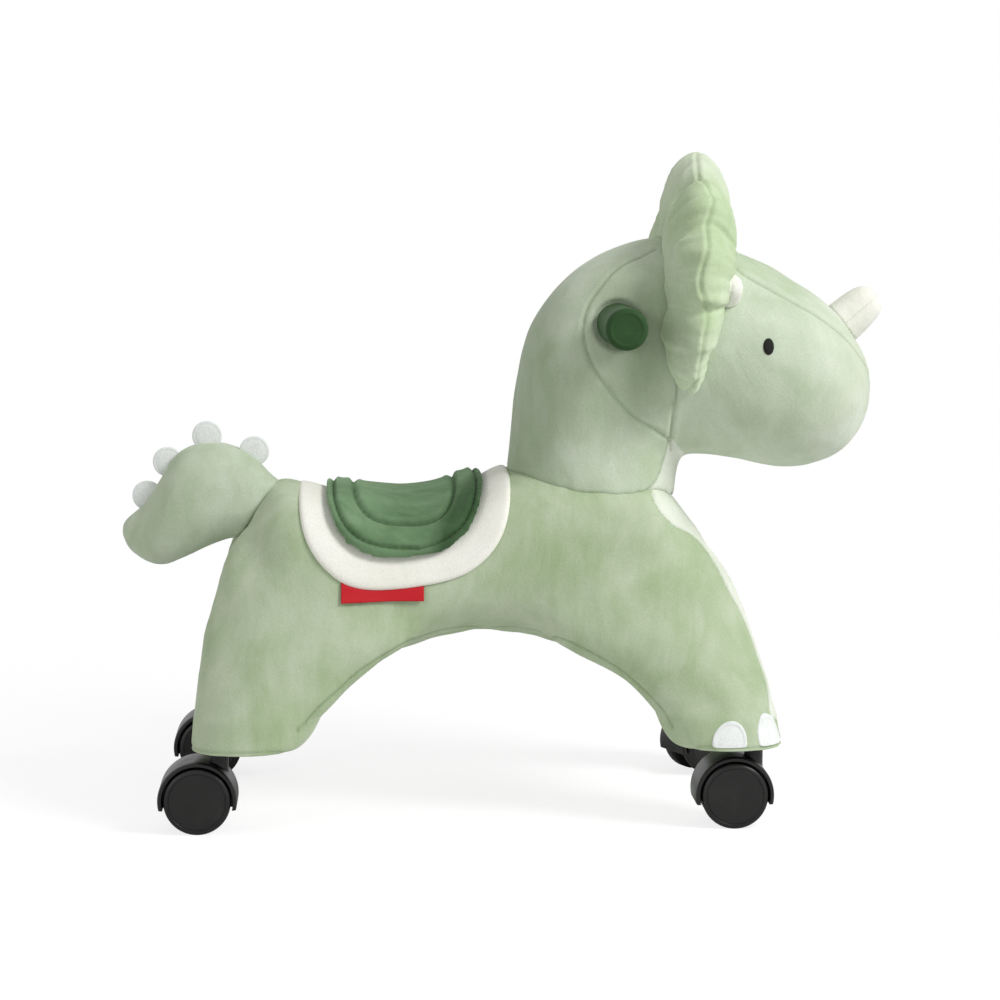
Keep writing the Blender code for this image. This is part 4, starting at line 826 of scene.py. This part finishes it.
# painted shade: the back of the neck and the neck round the grips are darkened, where the frill and head
# shade them
coords = coords_of(head.data)
shade_at_back = ramp(62 * MM - coords[:, 0], 30 * MM) * ramp(425 * MM - coords[:, 2], 40 * MM)
off_x, off_z = (coords[:, 0] - 100 * MM) / (26 * MM), (coords[:, 2] - 352 * MM) / (44 * MM)
shadow_round_grip = np.exp(-(off_x**2) - off_z**2)
painted_neck_shade = np.maximum(0.38 * shade_at_back, 0.56 * shadow_round_grip)
set_values(head.data, "seam", np.maximum(values_of(head.data, "seam"), painted_neck_shade))
# the throat is the top of the cream chest panel, and the muzzle is painted paler towards the nose: painted
# light, where light from the front falls on it
inside = ahead_of(coords, throat_line)
under_chin = (289 * MM - coords[:, 2]) - 1.15 * np.maximum(0, coords[:, 0] - 126.5 * MM)
coming = ramp(coords[:, 0] - 225 * MM, 45 * MM)
muzzle_painted_light = 0.42 * coming * coming * (3 - 2 * coming)
set_values(head.data, "panel", np.maximum(inside_panel(np.minimum(inside, under_chin)), muzzle_painted_light))
pale_plush = plush(
    "green_plush_pale", srgb(203, 214, 194), srgb(177, 193, 162),
    stroke_size=17.0, tint=srgb(238, 243, 232), panel=cream_pile,
)
sew_down(head, body_tree)
dress(head, pale_plush, "green_plush", ["neck", "head"])
head_tree = skin_tree(head.data)


# Frill: a stuffed fan of seven lobes that stands across the back of the head, two plush
# panels sewn round the scalloped rim and hand-sewn to the head.
frill_x, frill_z = 145 * MM, 390.2 * MM
frill_radius, frill_root, frill_half = 114 * MM, 52 * MM, 27 * MM
frill_lean = math.tan(math.radians(4))
# shares of the radius: how far the rim falls in between two lobes, how much more beside the crown
# lobe, and how much lower the lobes next to it start
scallop, crown_notch, crown_step = 0.13, 0.07, 0.11
crease_width, lobe_roundness = 0.13, 0.4
lobes, lobe_steps, root_steps = 7, 28, 44
fan_start = math.radians(-40)
fan_span = math.pi - 2 * fan_start
phase = np.arange(lobes * lobe_steps + 1) / lobe_steps
fan_angles = fan_start + fan_span * phase / lobes
notch = np.round(phase)
crease = np.exp(-(((phase - notch) / crease_width) ** 2)) * (notch > 0) * (notch < lobes)
beside_crown = np.isin(notch, (3, 4))
lobe_bulge = np.abs(np.sin(math.pi * phase)) ** lobe_roundness
rim = frill_radius * (1 - scallop * (1 - lobe_bulge))
rim = rim * (1 - crown_notch * crease * beside_crown)
off_crown = np.abs(phase - lobes / 2) - 0.5
rim = rim * (1 - crown_step * np.exp(-((off_crown / 0.42) ** 2)) * (off_crown > 0))
below = np.arange(1, root_steps) / root_steps
crease = np.concatenate((crease * np.where(beside_crown, 0.62, 0.13), 0 * below))
outline_angle = np.concatenate((fan_angles, fan_angles[-1] + (2 * math.pi - fan_span) * below))
edge_blend = np.sin(math.pi * below) ** 0.35
outline_radius = np.concatenate((rim, rim[0] + (frill_root - rim[0]) * edge_blend))
from_tip = np.minimum(np.abs(outline_angle - fan_start), np.abs(fan_angles[-1] - outline_angle))
gathers = np.sin(outline_angle * 9)
frill_shares = np.array([
    0.02, 0.15, 0.3, 0.42, 0.52, 0.6, 0.68, 0.75, 0.81, 0.86, 0.90, 0.935, 0.96, 0.98, 0.992, 1.0,
])
rings = []
# the front panel, then the back one: how much flatter it lies near the two lowest tips, and over
# what angle
for side, flatter, reach in ((1, 0.72, 0.46), (-1, 0.25, 0.2)):
    for share in frill_shares if side == 1 else frill_shares[::-1][1:]:
        full = (1 - share**5) ** 0.6
        fold = 1 - crease * ramp(share - 0.45, 0.4)
        pucker = 1 + 0.07 * np.sin(outline_angle * 61 + side + 2 * gathers) * ramp(share - 0.6, 0.3)
        fold = fold * (1 - flatter * np.exp(-((from_tip / reach) ** 2)) * ramp(share - 0.25, 0.4))
        swell = side * frill_half * full * fold * pucker
        y = share * outline_radius * np.cos(outline_angle)
        z = share * outline_radius * np.sin(outline_angle)
        rings.append(np.stack((frill_x + z * frill_lean + swell, y, frill_z + z), axis=1))
frill = add_piece("frill_cover", ring_skin(rings))
trim(frill, head_rows)
trim(frill, neck_rows)
recover(frill, cell=2.8 * MM)
stuff(frill, pressure=3.0, most=3 * MM)
unevenness(frill, height=3.0 * MM, size=26 * MM, seed=3.0)
# puckers run in from the rim seam, where the two panels were gathered on it
coords = coords_of(frill.data)
normals = normals_of(frill.data)
for v, (x, y, z) in enumerate(coords):
    out = math.hypot(y, z - frill_z) / frill_radius
    turn = math.atan2(z - frill_z, y) * 100 * MM
    wrinkle = noise.noise(Vector((turn / (9 * MM), (x - frill_x) / (45 * MM), 3.3)))
    wrinkle += 0.5 * noise.noise(Vector((turn / (4.5 * MM), (x - frill_x) / (25 * MM), 8.1)))
    coords[v] += normals[v] * 3.0 * MM * wrinkle * ramp(out - 0.5, 0.3)
set_coords(frill.data, coords)
refine(frill)
rim_y, rim_z = rim * np.cos(fan_angles), rim * np.sin(fan_angles)
wander = 3.5 * MM * np.sin(phase * 4.1 + 0.8) + 2 * MM * np.sin(phase * 9.7)
rim_line = np.stack((frill_x + rim_z * frill_lean + wander, rim_y, frill_z + rim_z), axis=1)
sew_line(frill, rim_line, width=1.6, depth=1.0, shade=0.4, swell=0.3)
sew_down(frill, head_tree, shade=0.5)
# painted light: the top of the crown lobe is painted paler, where light from above falls on it
x, y, z = coords_of(frill.data).T
out = np.hypot(y, z - frill_z) / frill_radius
off_top = np.abs(np.arctan2(y, z - frill_z))
crown_painted_light = ramp(out - 0.62, 0.3) * ramp(math.radians(21) - off_top, math.radians(7))
set_values(frill.data, "panel", 0.5 * crown_painted_light)
frill_plush = plush(
    "green_plush_frill", srgb(203, 218, 188), srgb(176, 197, 154),
    stroke_size=17.0, tint=srgb(236, 243, 227), panel=cream_pile,
)
dress(frill, frill_plush, "green_plush", ["frill"])


# Horns: three blunt cones of cream plush, stuffed firm and sewn to the head round the base.
# Each is one panel, closed by a seam up its side.
horn_plush = plush(
    "horn_plush", srgb(241, 241, 233), srgb(231, 231, 219), stroke_size=30.0, bump=0.35, sheen=0.2,
)
horn_along = (0, 0.12, 0.25, 0.4, 0.55, 0.68, 0.8, 0.88, 0.94, 0.98, 1.0)
horn_across = (1.06, 1.04, 1.0, 0.97, 0.94, 0.90, 0.83, 0.73, 0.58, 0.36, 0.0)


def horn(name, node, root, aim, length, radius):
    """A blunt stuffed cone; its base starts in the cloth it is sewn to."""
    turn = Vector((0, 0, 1)).rotation_difference(Vector(aim)).to_matrix()

    def place_of(x, y, along):
        return Vector(root) + turn @ Vector((x, y, length * along))

    rings = []
    seam = []
    for along, across in zip(horn_along, horn_across):
        ring = []
        for angle in all_round(40):
            wobble = 1 + 0.03 * math.sin(3 * angle + 5 * along) * (1 - along)
            reach = radius * across * wobble
            ring.append(place_of(reach * math.cos(angle), reach * math.sin(angle), along))
        rings.append(ring)
        seam.append(place_of(0, -radius * 1.2 * (across if across > 0.3 else 0.2), along))
    piece = add_piece(name, ring_skin(rings))
    trim(piece, head_rows, overlap=3 * MM)
    recover(piece, cell=1.6 * MM)
    stroke_smooth(piece, rounds=3)
    refine(piece)
    sew_line(piece, seam, width=0.9, depth=0.5, shade=0.3)
    sew_down(piece, head_tree, width=0.9, depth=0.5, shade=0.6)
    dress(piece, horn_plush, "cream_plush", [node])


nose_lean = math.radians(40)
nose_aim = (math.cos(nose_lean), 0, math.sin(nose_lean))
nose_root = (254.4 * MM, 0, 362.6 * MM)
horn("nose_cone", "nose_horn", nose_root, nose_aim, length=50 * MM, radius=17.3 * MM)
for label, side in (("left", 1), ("right", -1)):
    brow_root = (164.8 * MM, side * 48.4 * MM, 386 * MM)
    brow_aim = Vector((0.10, side * 0.80, 0.50)).normalized()
    names = ("brow_cone_" + label, "brow_horn_" + label)
    horn(*names, brow_root, brow_aim, length=42 * MM, radius=12 * MM)


# Tail: a stuffed plush tail turned up at the rump, with a seam along its ridge. It is sewn
# to the body cover all round its root.
tail_rings = (
    (-293.0, 211.3, -293.0, 211.3, 0.0), (-288.9, 202.4, -291.5, 218.4, 8.3),
    (-280.8, 193.9, -284.9, 225.4, 14.7), (-271.2, 188.4, -275.3, 233.4, 21.1),
    (-260.7, 186.9, -263.3, 251.4, 26.9), (-249.6, 190.4, -248.2, 273.4, 30.7),
    (-238.6, 195.4, -229.0, 280.9, 32.0), (-226.4, 201.4, -208.4, 279.4, 31.4),
    (-214.4, 205.9, -190.2, 269.4, 29.4), (-205.3, 207.4, -174.1, 253.4, 27.2),
    (-198.3, 204.4, -165.0, 248.4, 25.6),
)
tail_rows = np.insert(mm(tail_rings), 4, 0.0, axis=1)
tail = add_piece("tail_cover", ring_skin(oval_rings(tail_rows)))
trim(tail, trunk_rows)
recover(tail, cell=2.8 * MM)
stroke_smooth(tail, rounds=4)
stuff(tail, pressure=1.5, most=2 * MM)
refine(tail)
ridge = mm((
    (-200, 0, 278), (-210, 0, 283), (-227, 0, 286), (-243, 0, 284), (-254, 0, 272), (-262, 0, 256),
    (-272, 0, 240), (-284, 0, 230), (-294, 0, 216), (-292, 0, 205), (-282, 0, 194), (-270, 0, 186),
    (-255, 0, 185),
))
sew_line(tail, ridge, width=1.5, depth=1.0, shade=0.5, swell=0.2)
sew_down(tail, body_tree)
dress(tail, pale_plush, "green_plush", ["tail"])


# Tail spikes: four round discs of white felt, each two layers with a line of stitches inside
# the edge. They are caught in the ridge seam, so that about half of each stands out.
white_felt = plush(
    "white_felt", srgb(240, 243, 240), srgb(230, 234, 231), stroke_size=60.0, bump=0.3, sheen=0.1,
)
disc_radius = 11.5 * MM
# share of the radius and half thickness in mm, from the middle to the edge
disc_side = (
    (0.0, 2.0), (0.5, 2.0), (0.76, 1.85), (0.82, 1.5), (0.88, 1.8), (0.95, 1.6), (0.99, 0.9), (1.0, 0.0),
)
disc_profile = disc_side + tuple((share, -half) for share, half in disc_side[-2::-1])
for number, (x, z) in enumerate(mm(((-272.9, 240.3), (-256.8, 266.4), (-226.4, 286.3), (-190.2, 274.4))), 1):
    rings = []
    for share, half in disc_profile:
        reach = disc_radius * max(share, 0.01)
        rings.append([(x + reach * math.cos(a), half * MM, z + reach * math.sin(a)) for a in all_round(48)])
    disc = add_piece(f"felt_disc_{number}", ring_skin(rings))
    trim(disc, tail_rows, overlap=2 * MM)
    dress(disc, white_felt, "white_felt", [f"tail_spike_{number}"])


# Saddle blanket: a thin padded panel of cream plush with rounded corners. It is laid over the back
# and sewn down round its hem, with the seat pad on top.
cream_plush = plush("cream_plush", srgb(248, 247, 239), srgb(239, 238, 226), bump=0.35, sheen=0.2)
saddle_x = -75 * MM
trunk_fair = fair_rows(trunk_rows)
# half length, half width as an angle round the back, and squareness
blanket_shape = (80.5 * MM, math.radians(93), 4.2)
blanket_shares = (0.02, 0.15, 0.3, 0.45, 0.6, 0.7, 0.8, 0.87, 0.92, 0.95, 0.97, 0.985, 0.995, 1.0)


def over_back(x, angle):
    """A ray in to the back: its start outside, its direction, at x and an angle down from the top."""
    low, high, half = (np.interp(x, trunk_fair[:, 0], trunk_fair[:, k]) for k in (1, 3, 5))
    up, across = oval(np.array(angle), stuffed_oval)
    aim = Vector((0, half * float(across), (high - low) / 2 * float(up)))
    middle = Vector((x, 0, (low + high) / 2))
    return middle + aim * 2.0, -aim.normalized()


def back_outline(half_length, half_angle, squareness, count=120):
    along, around = oval(all_round(count), squareness)
    return [(saddle_x + a * half_length, b * half_angle) for a, b in zip(along, around)]


def sewn_on(name, to_ray, tree, centre, outline, shares, lift, floor_lift):
    """A closed panel laid on a skin: rings shrink from its outline to its centre."""
    far, halfway = 150, 115

    def ring(share, raised):
        found = []
        for u, v in outline:
            u, v = centre[0] + (u - centre[0]) * share, centre[1] + (v - centre[1]) * share
            start, aim = to_ray(u, v)
            hit, normal, _, _ = tree.ray_cast(start, aim, far * MM)
            if hit is None:
                hit, normal, _, _ = tree.find_nearest(start + aim * halfway * MM)
            out = (normal * 0.5 - aim * 0.5).normalized()
            found.append(hit + out * raised(share, u))
        return found

    rings = [ring(share, lift) for share in shares]
    rings += [ring(share, lambda *_: floor_lift) for share in shares[::-1][:: max(1, len(shares) // 4)]]
    return add_piece(name, ring_skin(rings))


def blanket_lift(share, _):
    edge = max(0.0, 1 - max(0.0, (share - 0.955) / 0.045) ** 2)
    return (0.5 + 3.2 * math.sqrt(edge)) * MM


blanket = sewn_on(
    "saddle_cloth", over_back, body_tree, (saddle_x, 0.0), back_outline(*blanket_shape), blanket_shares,
    blanket_lift, floor_lift=0.2 * MM,
)
refine(blanket)
dress(blanket, cream_plush, "cream_plush", ["saddle_blanket"])
blanket_tree = skin_tree(blanket.data)


# Seat pad: dark green velour, quilted in two rings over foam, sewn to the blanket round its edge.
# It is fuller at both ends, which keeps the rider in the middle.
velour = plush(
    "pad_velour", srgb(123, 153, 117), srgb(88, 119, 82), stroke_size=24.0, bump=0.3, sheen=0.4,
    tint=srgb(180, 205, 172), panel=(srgb(58, 86, 53), srgb(40, 66, 37)),
)
pad_shape = (62.5 * MM, math.radians(72), 3.4)
pad_shares = (0.02, 0.12, 0.22, 0.32, 0.42, 0.5, 0.58, 0.65, 0.72, 0.78, 0.84, 0.89, 0.93, 0.96, 0.985, 1.0)


def pad_lift(share, x):
    along = (x - saddle_x) / (60 * MM)
    high_ends = 1.0 + 0.22 * along**2 + 0.16 * max(0.0, along) ** 3
    return (0.4 + 7.6 * (1 - share**7) ** 0.5 * high_ends) * MM


pad = sewn_on(
    "seat_cushion", over_back, blanket_tree, (saddle_x, 0.0), back_outline(*pad_shape), pad_shares,
    pad_lift, floor_lift=0.3 * MM,
)
recover(pad, cell=3 * MM)
stuff(pad, pressure=4.0, most=3 * MM)
refine(pad)
for length_share, width_share, width, depth in ((0.875, 0.84, 1.8, 3.2), (0.62, 0.57, 2.1, 3.4)):
    quilting = []
    for u, v in back_outline(*pad_shape, count=160):
        start, aim = over_back(saddle_x + (u - saddle_x) * length_share, v * width_share)
        quilting.append(blanket_tree.ray_cast(start, aim)[0] - aim * 10 * MM)
    quilting.append(quilting[0])
    sew_line(pad, quilting, width, depth, shade=0.75, swell=0.5, stitch=5)
# the pile lies the other way on the front of the pad
x, y, _ = coords_of(pad.data).T
in_front = (x + 42 * MM) / (14 * MM) + 3.0 * (np.abs(y) / (80 * MM) - 0.6)
set_values(pad.data, "panel", np.clip(in_front, 0, 1) * 0.85)
dress(pad, velour, "saddle_velour", ["seat_pad"])


# Side ribbon: a plain red ribbon, woven flat, cut to length. Its upper edge is caught under the
# blanket's hem on the right side, and the rest lies on the flank.
def woven(name, standing, lying, size):
    """Ribbon or thread: fine ribs across the cloth."""
    made, tree, shader = new_material(name)
    place = add_node(tree, "TexCoord").outputs["Object"]

    def ribs(size, direction):
        inputs = {"Vector": place, "Scale": size, "Distortion": 0.4, "Detail": 1.0}
        return add_node(tree, "TexWave", inputs, wave_type="BANDS", bands_direction=direction).outputs["Fac"]

    def product(first, second):
        return add_node(tree, "Math", {0: first, 1: second}, operation="MULTIPLY").outputs[0]

    cloth = product(ribs(size, "Z"), ribs(size * 0.8, "X"))
    soil = spots(tree, place, size=60.0, detail=3.0)
    hue = blend(tree, product(cloth, soil), lying, standing)
    rough = spread(tree, cloth, 0.0, 1.0, to=(0.75, 0.5))
    set_surface(tree, shader, hue, rough, cloth, 0.5, 0.2 * MM, {"Specular IOR Level": 0.25})
    return made


red_ribbon = woven("red_ribbon", srgb(222, 44, 54), srgb(190, 24, 36), 330.0)
ribbon_left, ribbon_low, ribbon_width, ribbon_length = -123.5 * MM, 168.8 * MM, 62 * MM, 22 * MM
ribbon_thickness, hem_top = 0.5 * MM, 215 * MM
columns, rows = 63, 23
hem = []
for u, v in back_outline(*blanket_shape, count=400):
    if v < 0:
        start, aim = over_back(u, v)
        on_hem = blanket_tree.find_nearest(body_tree.ray_cast(start, aim)[0])[0]
        if on_hem.z < hem_top:
            hem.append((on_hem.x, on_hem.z))
hem_x, hem_z = np.array(sorted(hem)).T
points = []
for k in range(rows):
    for i in range(columns):
        across, up = i / (columns - 1), k / (rows - 1)
        x = ribbon_left + ribbon_width * across
        z = ribbon_low + 0.4 * MM * math.sin(3 * across) + ribbon_length * up
        under_hem = (z - np.interp(x, hem_x, hem_z)) / (2 * MM)
        on_flank = body_tree.ray_cast(Vector((x, -0.3, z)), Vector((0, 1, 0)))[0]
        wave = 0.3 * math.sin(9 * across + 2 * up) + 1.6 * (1 - up) ** 2
        free = min(1.0, max(0.0, 0.5 - under_hem))
        points.append((x, on_flank.y - (0.15 + (0.75 + wave) * free) * MM, z))
cells = [k * columns + i for k in range(rows - 1) for i in range(columns - 1)]
ribbon_mesh = bpy.data.meshes.new("side_ribbon")
ribbon_mesh.from_pydata(points, [], [(c, c + 1, c + columns + 1, c + columns) for c in cells])
ribbon = add_piece("side_ribbon", ribbon_mesh)
reshape(ribbon, "SOLIDIFY", thickness=ribbon_thickness, offset=0)
ribbon.data.shade_smooth()
finish(ribbon, red_ribbon, "animal", "red_ribbon", "side_tag")


# Eyes: two small upright ovals of dark thread, satin-stitched through the cover of the face
# before it is stuffed.
eye_thread = woven("eye_thread", srgb(30, 33, 22), srgb(12, 14, 8), 700.0)
eye_spot = (197.6 * MM, 358.4 * MM)
eye_half_width, eye_half_height, eye_swell = 4.1 * MM, 6.2 * MM, 1.3 * MM
eye_outline = [
    (eye_spot[0] + eye_half_width * math.cos(angle), eye_spot[1] + eye_half_height * math.sin(angle))
    for angle in all_round(40)
]


def from_side(side):
    """Rays in to the face from one side, at x and z."""
    return lambda x, z: (Vector((x, side * 0.14, z)), Vector((0, -side, 0)))


def eye_lift(share, _):
    return eye_swell * (0.25 + 0.75 * math.sqrt(max(0.0, 1 - share**2.5)))


for label, side in (("left", 1), ("right", -1)):
    eye = sewn_on(
        "stitched_eye_" + label, from_side(side), head_tree, eye_spot, eye_outline,
        (0.05, 0.3, 0.55, 0.75, 0.88, 0.96, 1.0), eye_lift, floor_lift=-0.3 * MM,
    )
    dress(eye, eye_thread, "eye_thread", ["eye_" + label])


# Toenails: half ovals of white felt, three on each front foot. They are sewn flat on the plush
# with a satin-stitched edge.
nail_z, foot_radius = 70.0, 33.0
# turn round the foot in degrees, half width and height in mm
nails = (("outer", 103, 12.8, 13.5), ("middle", 40, 13.0, 17.0), ("inner", -20, 12.0, 13.5))
nail_shares = (0.05, 0.3, 0.55, 0.7, 0.79, 0.83, 0.88, 0.93, 0.965, 0.985, 1.0)


def from_foot(foot):
    """Rays in to a foot, at an angle round it and a height."""
    def ray(angle, z):
        out = Vector((math.cos(angle), math.sin(angle), 0))
        return foot + Vector((0.15 * math.cos(angle), 0.15 * math.sin(angle), z)), -out
    return ray


def nail_lift(share, _):
    return (0.95 if 0.82 < share < 0.97 else 0.55 if share < 0.97 else 0.3) * MM


def nail_outline(middle, half_width, top):
    """A half oval round a foot: a round arch above and an almost straight edge below."""
    outline = []
    for a in all_round(56):
        power = 2 / (2.0 if math.sin(a) > 0 else 7.0)
        across = math.copysign(abs(math.cos(a)) ** power, math.cos(a))
        up = math.copysign(abs(math.sin(a)) ** power, math.sin(a))
        z = nail_z + (top if up > 0 else 6.2) * up
        outline.append((middle + across * half_width / foot_radius, z * MM))
    return outline


for label, side in (("left", 1), ("right", -1)):
    rays_in = from_foot(Vector((front_leg_x, side * half_track, 0)))
    for where, turn, half_width, top in nails:
        angle = side * math.radians(turn)
        nail = sewn_on(
            f"felt_nail_{label}_{where}", rays_in, body_tree, (angle, nail_z * MM),
            nail_outline(angle, half_width, top), nail_shares, nail_lift, floor_lift=-0.3 * MM,
        )
        dress(nail, white_felt, "white_felt", [f"toenail_{label}_{where}"])


# Castors: moulded black nylon hoods that turn on steel stems, each with two wheels on one axle.
# The stems are pressed into the inserts in the feet.
wear_group, given, put_out = shader_group(
    "handled_plastic",
    (
        ("Plain", "Color", (0.03, 0.03, 0.03, 1.0)),
        ("Scuffed", "Color", (0.1, 0.1, 0.1, 1.0)),
        ("Grain Size", "Float", 1400.0),
    ),
    (("Colour", "Color"), ("Roughness", "Float"), ("Height", "Float")),
)
place = add_node(wear_group, "TexCoord").outputs["Object"]
scuffs = spots(wear_group, place, size=45.0, detail=6.0, roughness=0.7)
scuffs = spread(wear_group, scuffs, 0.52, 0.78)
fill_inputs(wear_group, put_out, {
    "Colour": blend(wear_group, scuffs, given["Plain"], given["Scuffed"]),
    "Roughness": spread(wear_group, scuffs, 0.0, 1.0, to=(0.38, 0.58)),
    "Height": spots(wear_group, place, given["Grain Size"], detail=2.0),
})


def moulded(name, plain, scuffed, bump=0.15, metallic=0.0, gloss=0.35):
    """Moulded plastic, or metal where metallic is 1."""
    made, tree, shader = new_material(name)
    worn = add_node(tree, "Group", {"Plain": plain, "Scuffed": scuffed}, node_tree=wear_group).outputs
    set_surface(tree, shader, worn["Colour"], worn["Roughness"], worn["Height"], bump, 0.1 * MM, {
        "Metallic": metallic, "Specular IOR Level": gloss,
    })
    return made


def turned(profile, sides=96):
    """A form turned about Y: (radius, y) points in mm, with both ends on the axis."""
    rings = []
    for radius, y in profile:
        reach = max(radius, 1e-5 * MM) * MM
        rings.append([(reach * math.cos(a), y * MM, reach * math.sin(a)) for a in all_round(sides)])
    return ring_skin(rings)


def crisp(mesh, degrees=40):
    mesh.shade_smooth()
    mesh.set_sharp_from_angle(angle=math.radians(degrees))


black_nylon = moulded("black_nylon", srgb(17, 17, 16), srgb(30, 30, 29))
axle_z, trail, hood_edge = 24.692 * MM, 16 * MM, 6.5 * MM
to_axle = Matrix.Translation((-trail, 0, axle_z))
hood_form = add_piece("hood_form", turned([
    (0, -20), (26.6, -20), (28.6, -19.6), (29.3, -18.6), (29.5, -17), (29.5, 17), (29.3, 18.6), (28.6, 19.6),
    (26.6, 20), (0, 20),
], sides=128))
hood_form.data.transform(to_axle)
boss = turned([(0, -32.2), (6.4, -32.2), (6.9, -31.8), (7.0, -31.2), (7.0, 0), (0, 0)], sides=48)
boss.transform(Matrix.Translation((0, 0, axle_z)) @ Matrix.Rotation(math.radians(-90), 4, "X"))
carve(hood_form, boss, "UNION")
for side in (1, -1):
    well = turned([(0, 7), (26.0, 7), (26.5, 7.5), (26.5, 26), (0, 26)], sides=128)
    well.transform(to_axle @ Matrix.Scale(side, 4, (0, 1, 0)))
    rework(well)
    carve(hood_form, well)


def block_below(work):
    """A block that takes in all of the hood under its lower edge."""
    length, width, depth = 90 * MM, 60 * MM, 40 * MM
    bmesh.ops.create_cube(work, size=1.0)
    bmesh.ops.scale(work, verts=work.verts, vec=(length, width, depth))
    bmesh.ops.translate(work, verts=work.verts, vec=(-trail, 0, axle_z - hood_edge - depth / 2))


def close_cuts(work):
    """Closes and cleans the cut edges."""
    bmesh.ops.remove_doubles(work, verts=work.verts, dist=0.01 * MM)
    bmesh.ops.dissolve_degenerate(work, edges=work.edges, dist=0.01 * MM)
    bmesh.ops.holes_fill(work, edges=[edge for edge in work.edges if len(edge.link_faces) == 1], sides=4)
    bmesh.ops.triangulate(work, faces=work.faces)


underside = bpy.data.meshes.new("underside")
rework(underside, block_below)
carve(hood_form, underside)
rework(hood_form.data, close_cuts)
# the edges are rounded as a mould leaves them
reshape(
    hood_form, "BEVEL", width=0.3 * MM, segments=2, use_clamp_overlap=False, limit_method="ANGLE",
    angle_limit=math.radians(50),
)
crisp(hood_form.data)
hood_mesh = hood_form.data.copy()
bpy.data.objects.remove(hood_form)

wheel_mesh = turned([
    (0, 21), (20.6, 21), (20.9, 20.65), (21.3, 20.6), (21.6, 20.9), (22.8, 20.8), (24.0, 20.2), (24.7, 19.3),
    (25, 18), (25, 10.4), (24.7, 9.2), (24.0, 8.4), (22.8, 8.0), (3.3, 8.0), (3.3, 18.5), (0, 18.5),
])
crisp(wheel_mesh)
rear_stem_x, front_stem_x = -215 * MM, 186 * MM
for corner, stem_x, side, swivel in (
    ("front_left", front_stem_x, 1, 24), ("front_right", front_stem_x, -1, 0),
    ("rear_left", rear_stem_x, 1, 0), ("rear_right", rear_stem_x, -1, 0),
):
    pivot = Matrix.Translation((stem_x, side * half_track, 0)) @ Matrix.Rotation(math.radians(swivel), 4, "Z")
    hood = add_piece("moulded_hood_" + corner, hood_mesh.copy())
    hood.data.transform(pivot)
    finish(hood, black_nylon, "castor_" + corner, "black_nylon", "castor_hood_" + corner)
    for label, turn, wheel_side in (("left", 0, 1), ("right", math.pi, -1)):
        wheel = add_piece(f"moulded_wheel_{corner}_{label}", wheel_mesh.copy())
        wheel.data.transform(pivot @ to_axle @ Matrix.Rotation(turn, 4, "Z"))
        where = "outer" if wheel_side == side else "inner"
        finish(wheel, black_nylon, f"{corner}_{where}_wheel", "black_nylon", f"wheel_{corner}_{label}")


# Handlebar grips: two sleeves of soft dark green plastic with rounded ends, pushed on the ends
# of the steel bar that crosses the neck.
grip_plastic = moulded("grip_plastic", srgb(53, 80, 49), srgb(67, 96, 62), bump=0.3, gloss=0.03)
grip_mesh = turned([
    (0, 52), (15.6, 52), (16.0, 52.6), (15.6, 70), (15.1, 92), (15.5, 112), (15.9, 124), (15.7, 127.5),
    (15.0, 129.8), (13.7, 131.3), (12.2, 131.9), (11.4, 131.9), (11.0, 131.6), (10.4, 131.6), (0, 131.6),
])
crisp(grip_mesh, degrees=60)
for label, turn in (("left", 0), ("right", math.pi)):
    grip = add_piece("soft_grip_" + label, grip_mesh.copy())
    grip.data.transform(Matrix.Translation((bar_x, 0, bar_z)) @ Matrix.Rotation(turn, 4, "Z"))
    finish(grip, grip_plastic, "animal", "grip_plastic", "grip_" + label)


# Frame, handlebar, axles, stems, sole plates and tube inserts keep their CAD shapes. The bent and
# welded tubes and the pins are zinc-plated steel, and the plates and inserts are black nylon.
steel = moulded("zinc_steel", srgb(172, 174, 176), srgb(140, 142, 146), metallic=1.0)
finishes = {
    "tube_insert": black_nylon, "foot_plate": black_nylon, "castor_axle": steel, "castor_stem": steel,
    "welded_frame": steel, "handlebar": steel,
}
for node_name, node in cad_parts.items():
    for start, material in finishes.items():
        if node_name.startswith(start):
            for slot in node.material_slots:
                slot.material = material
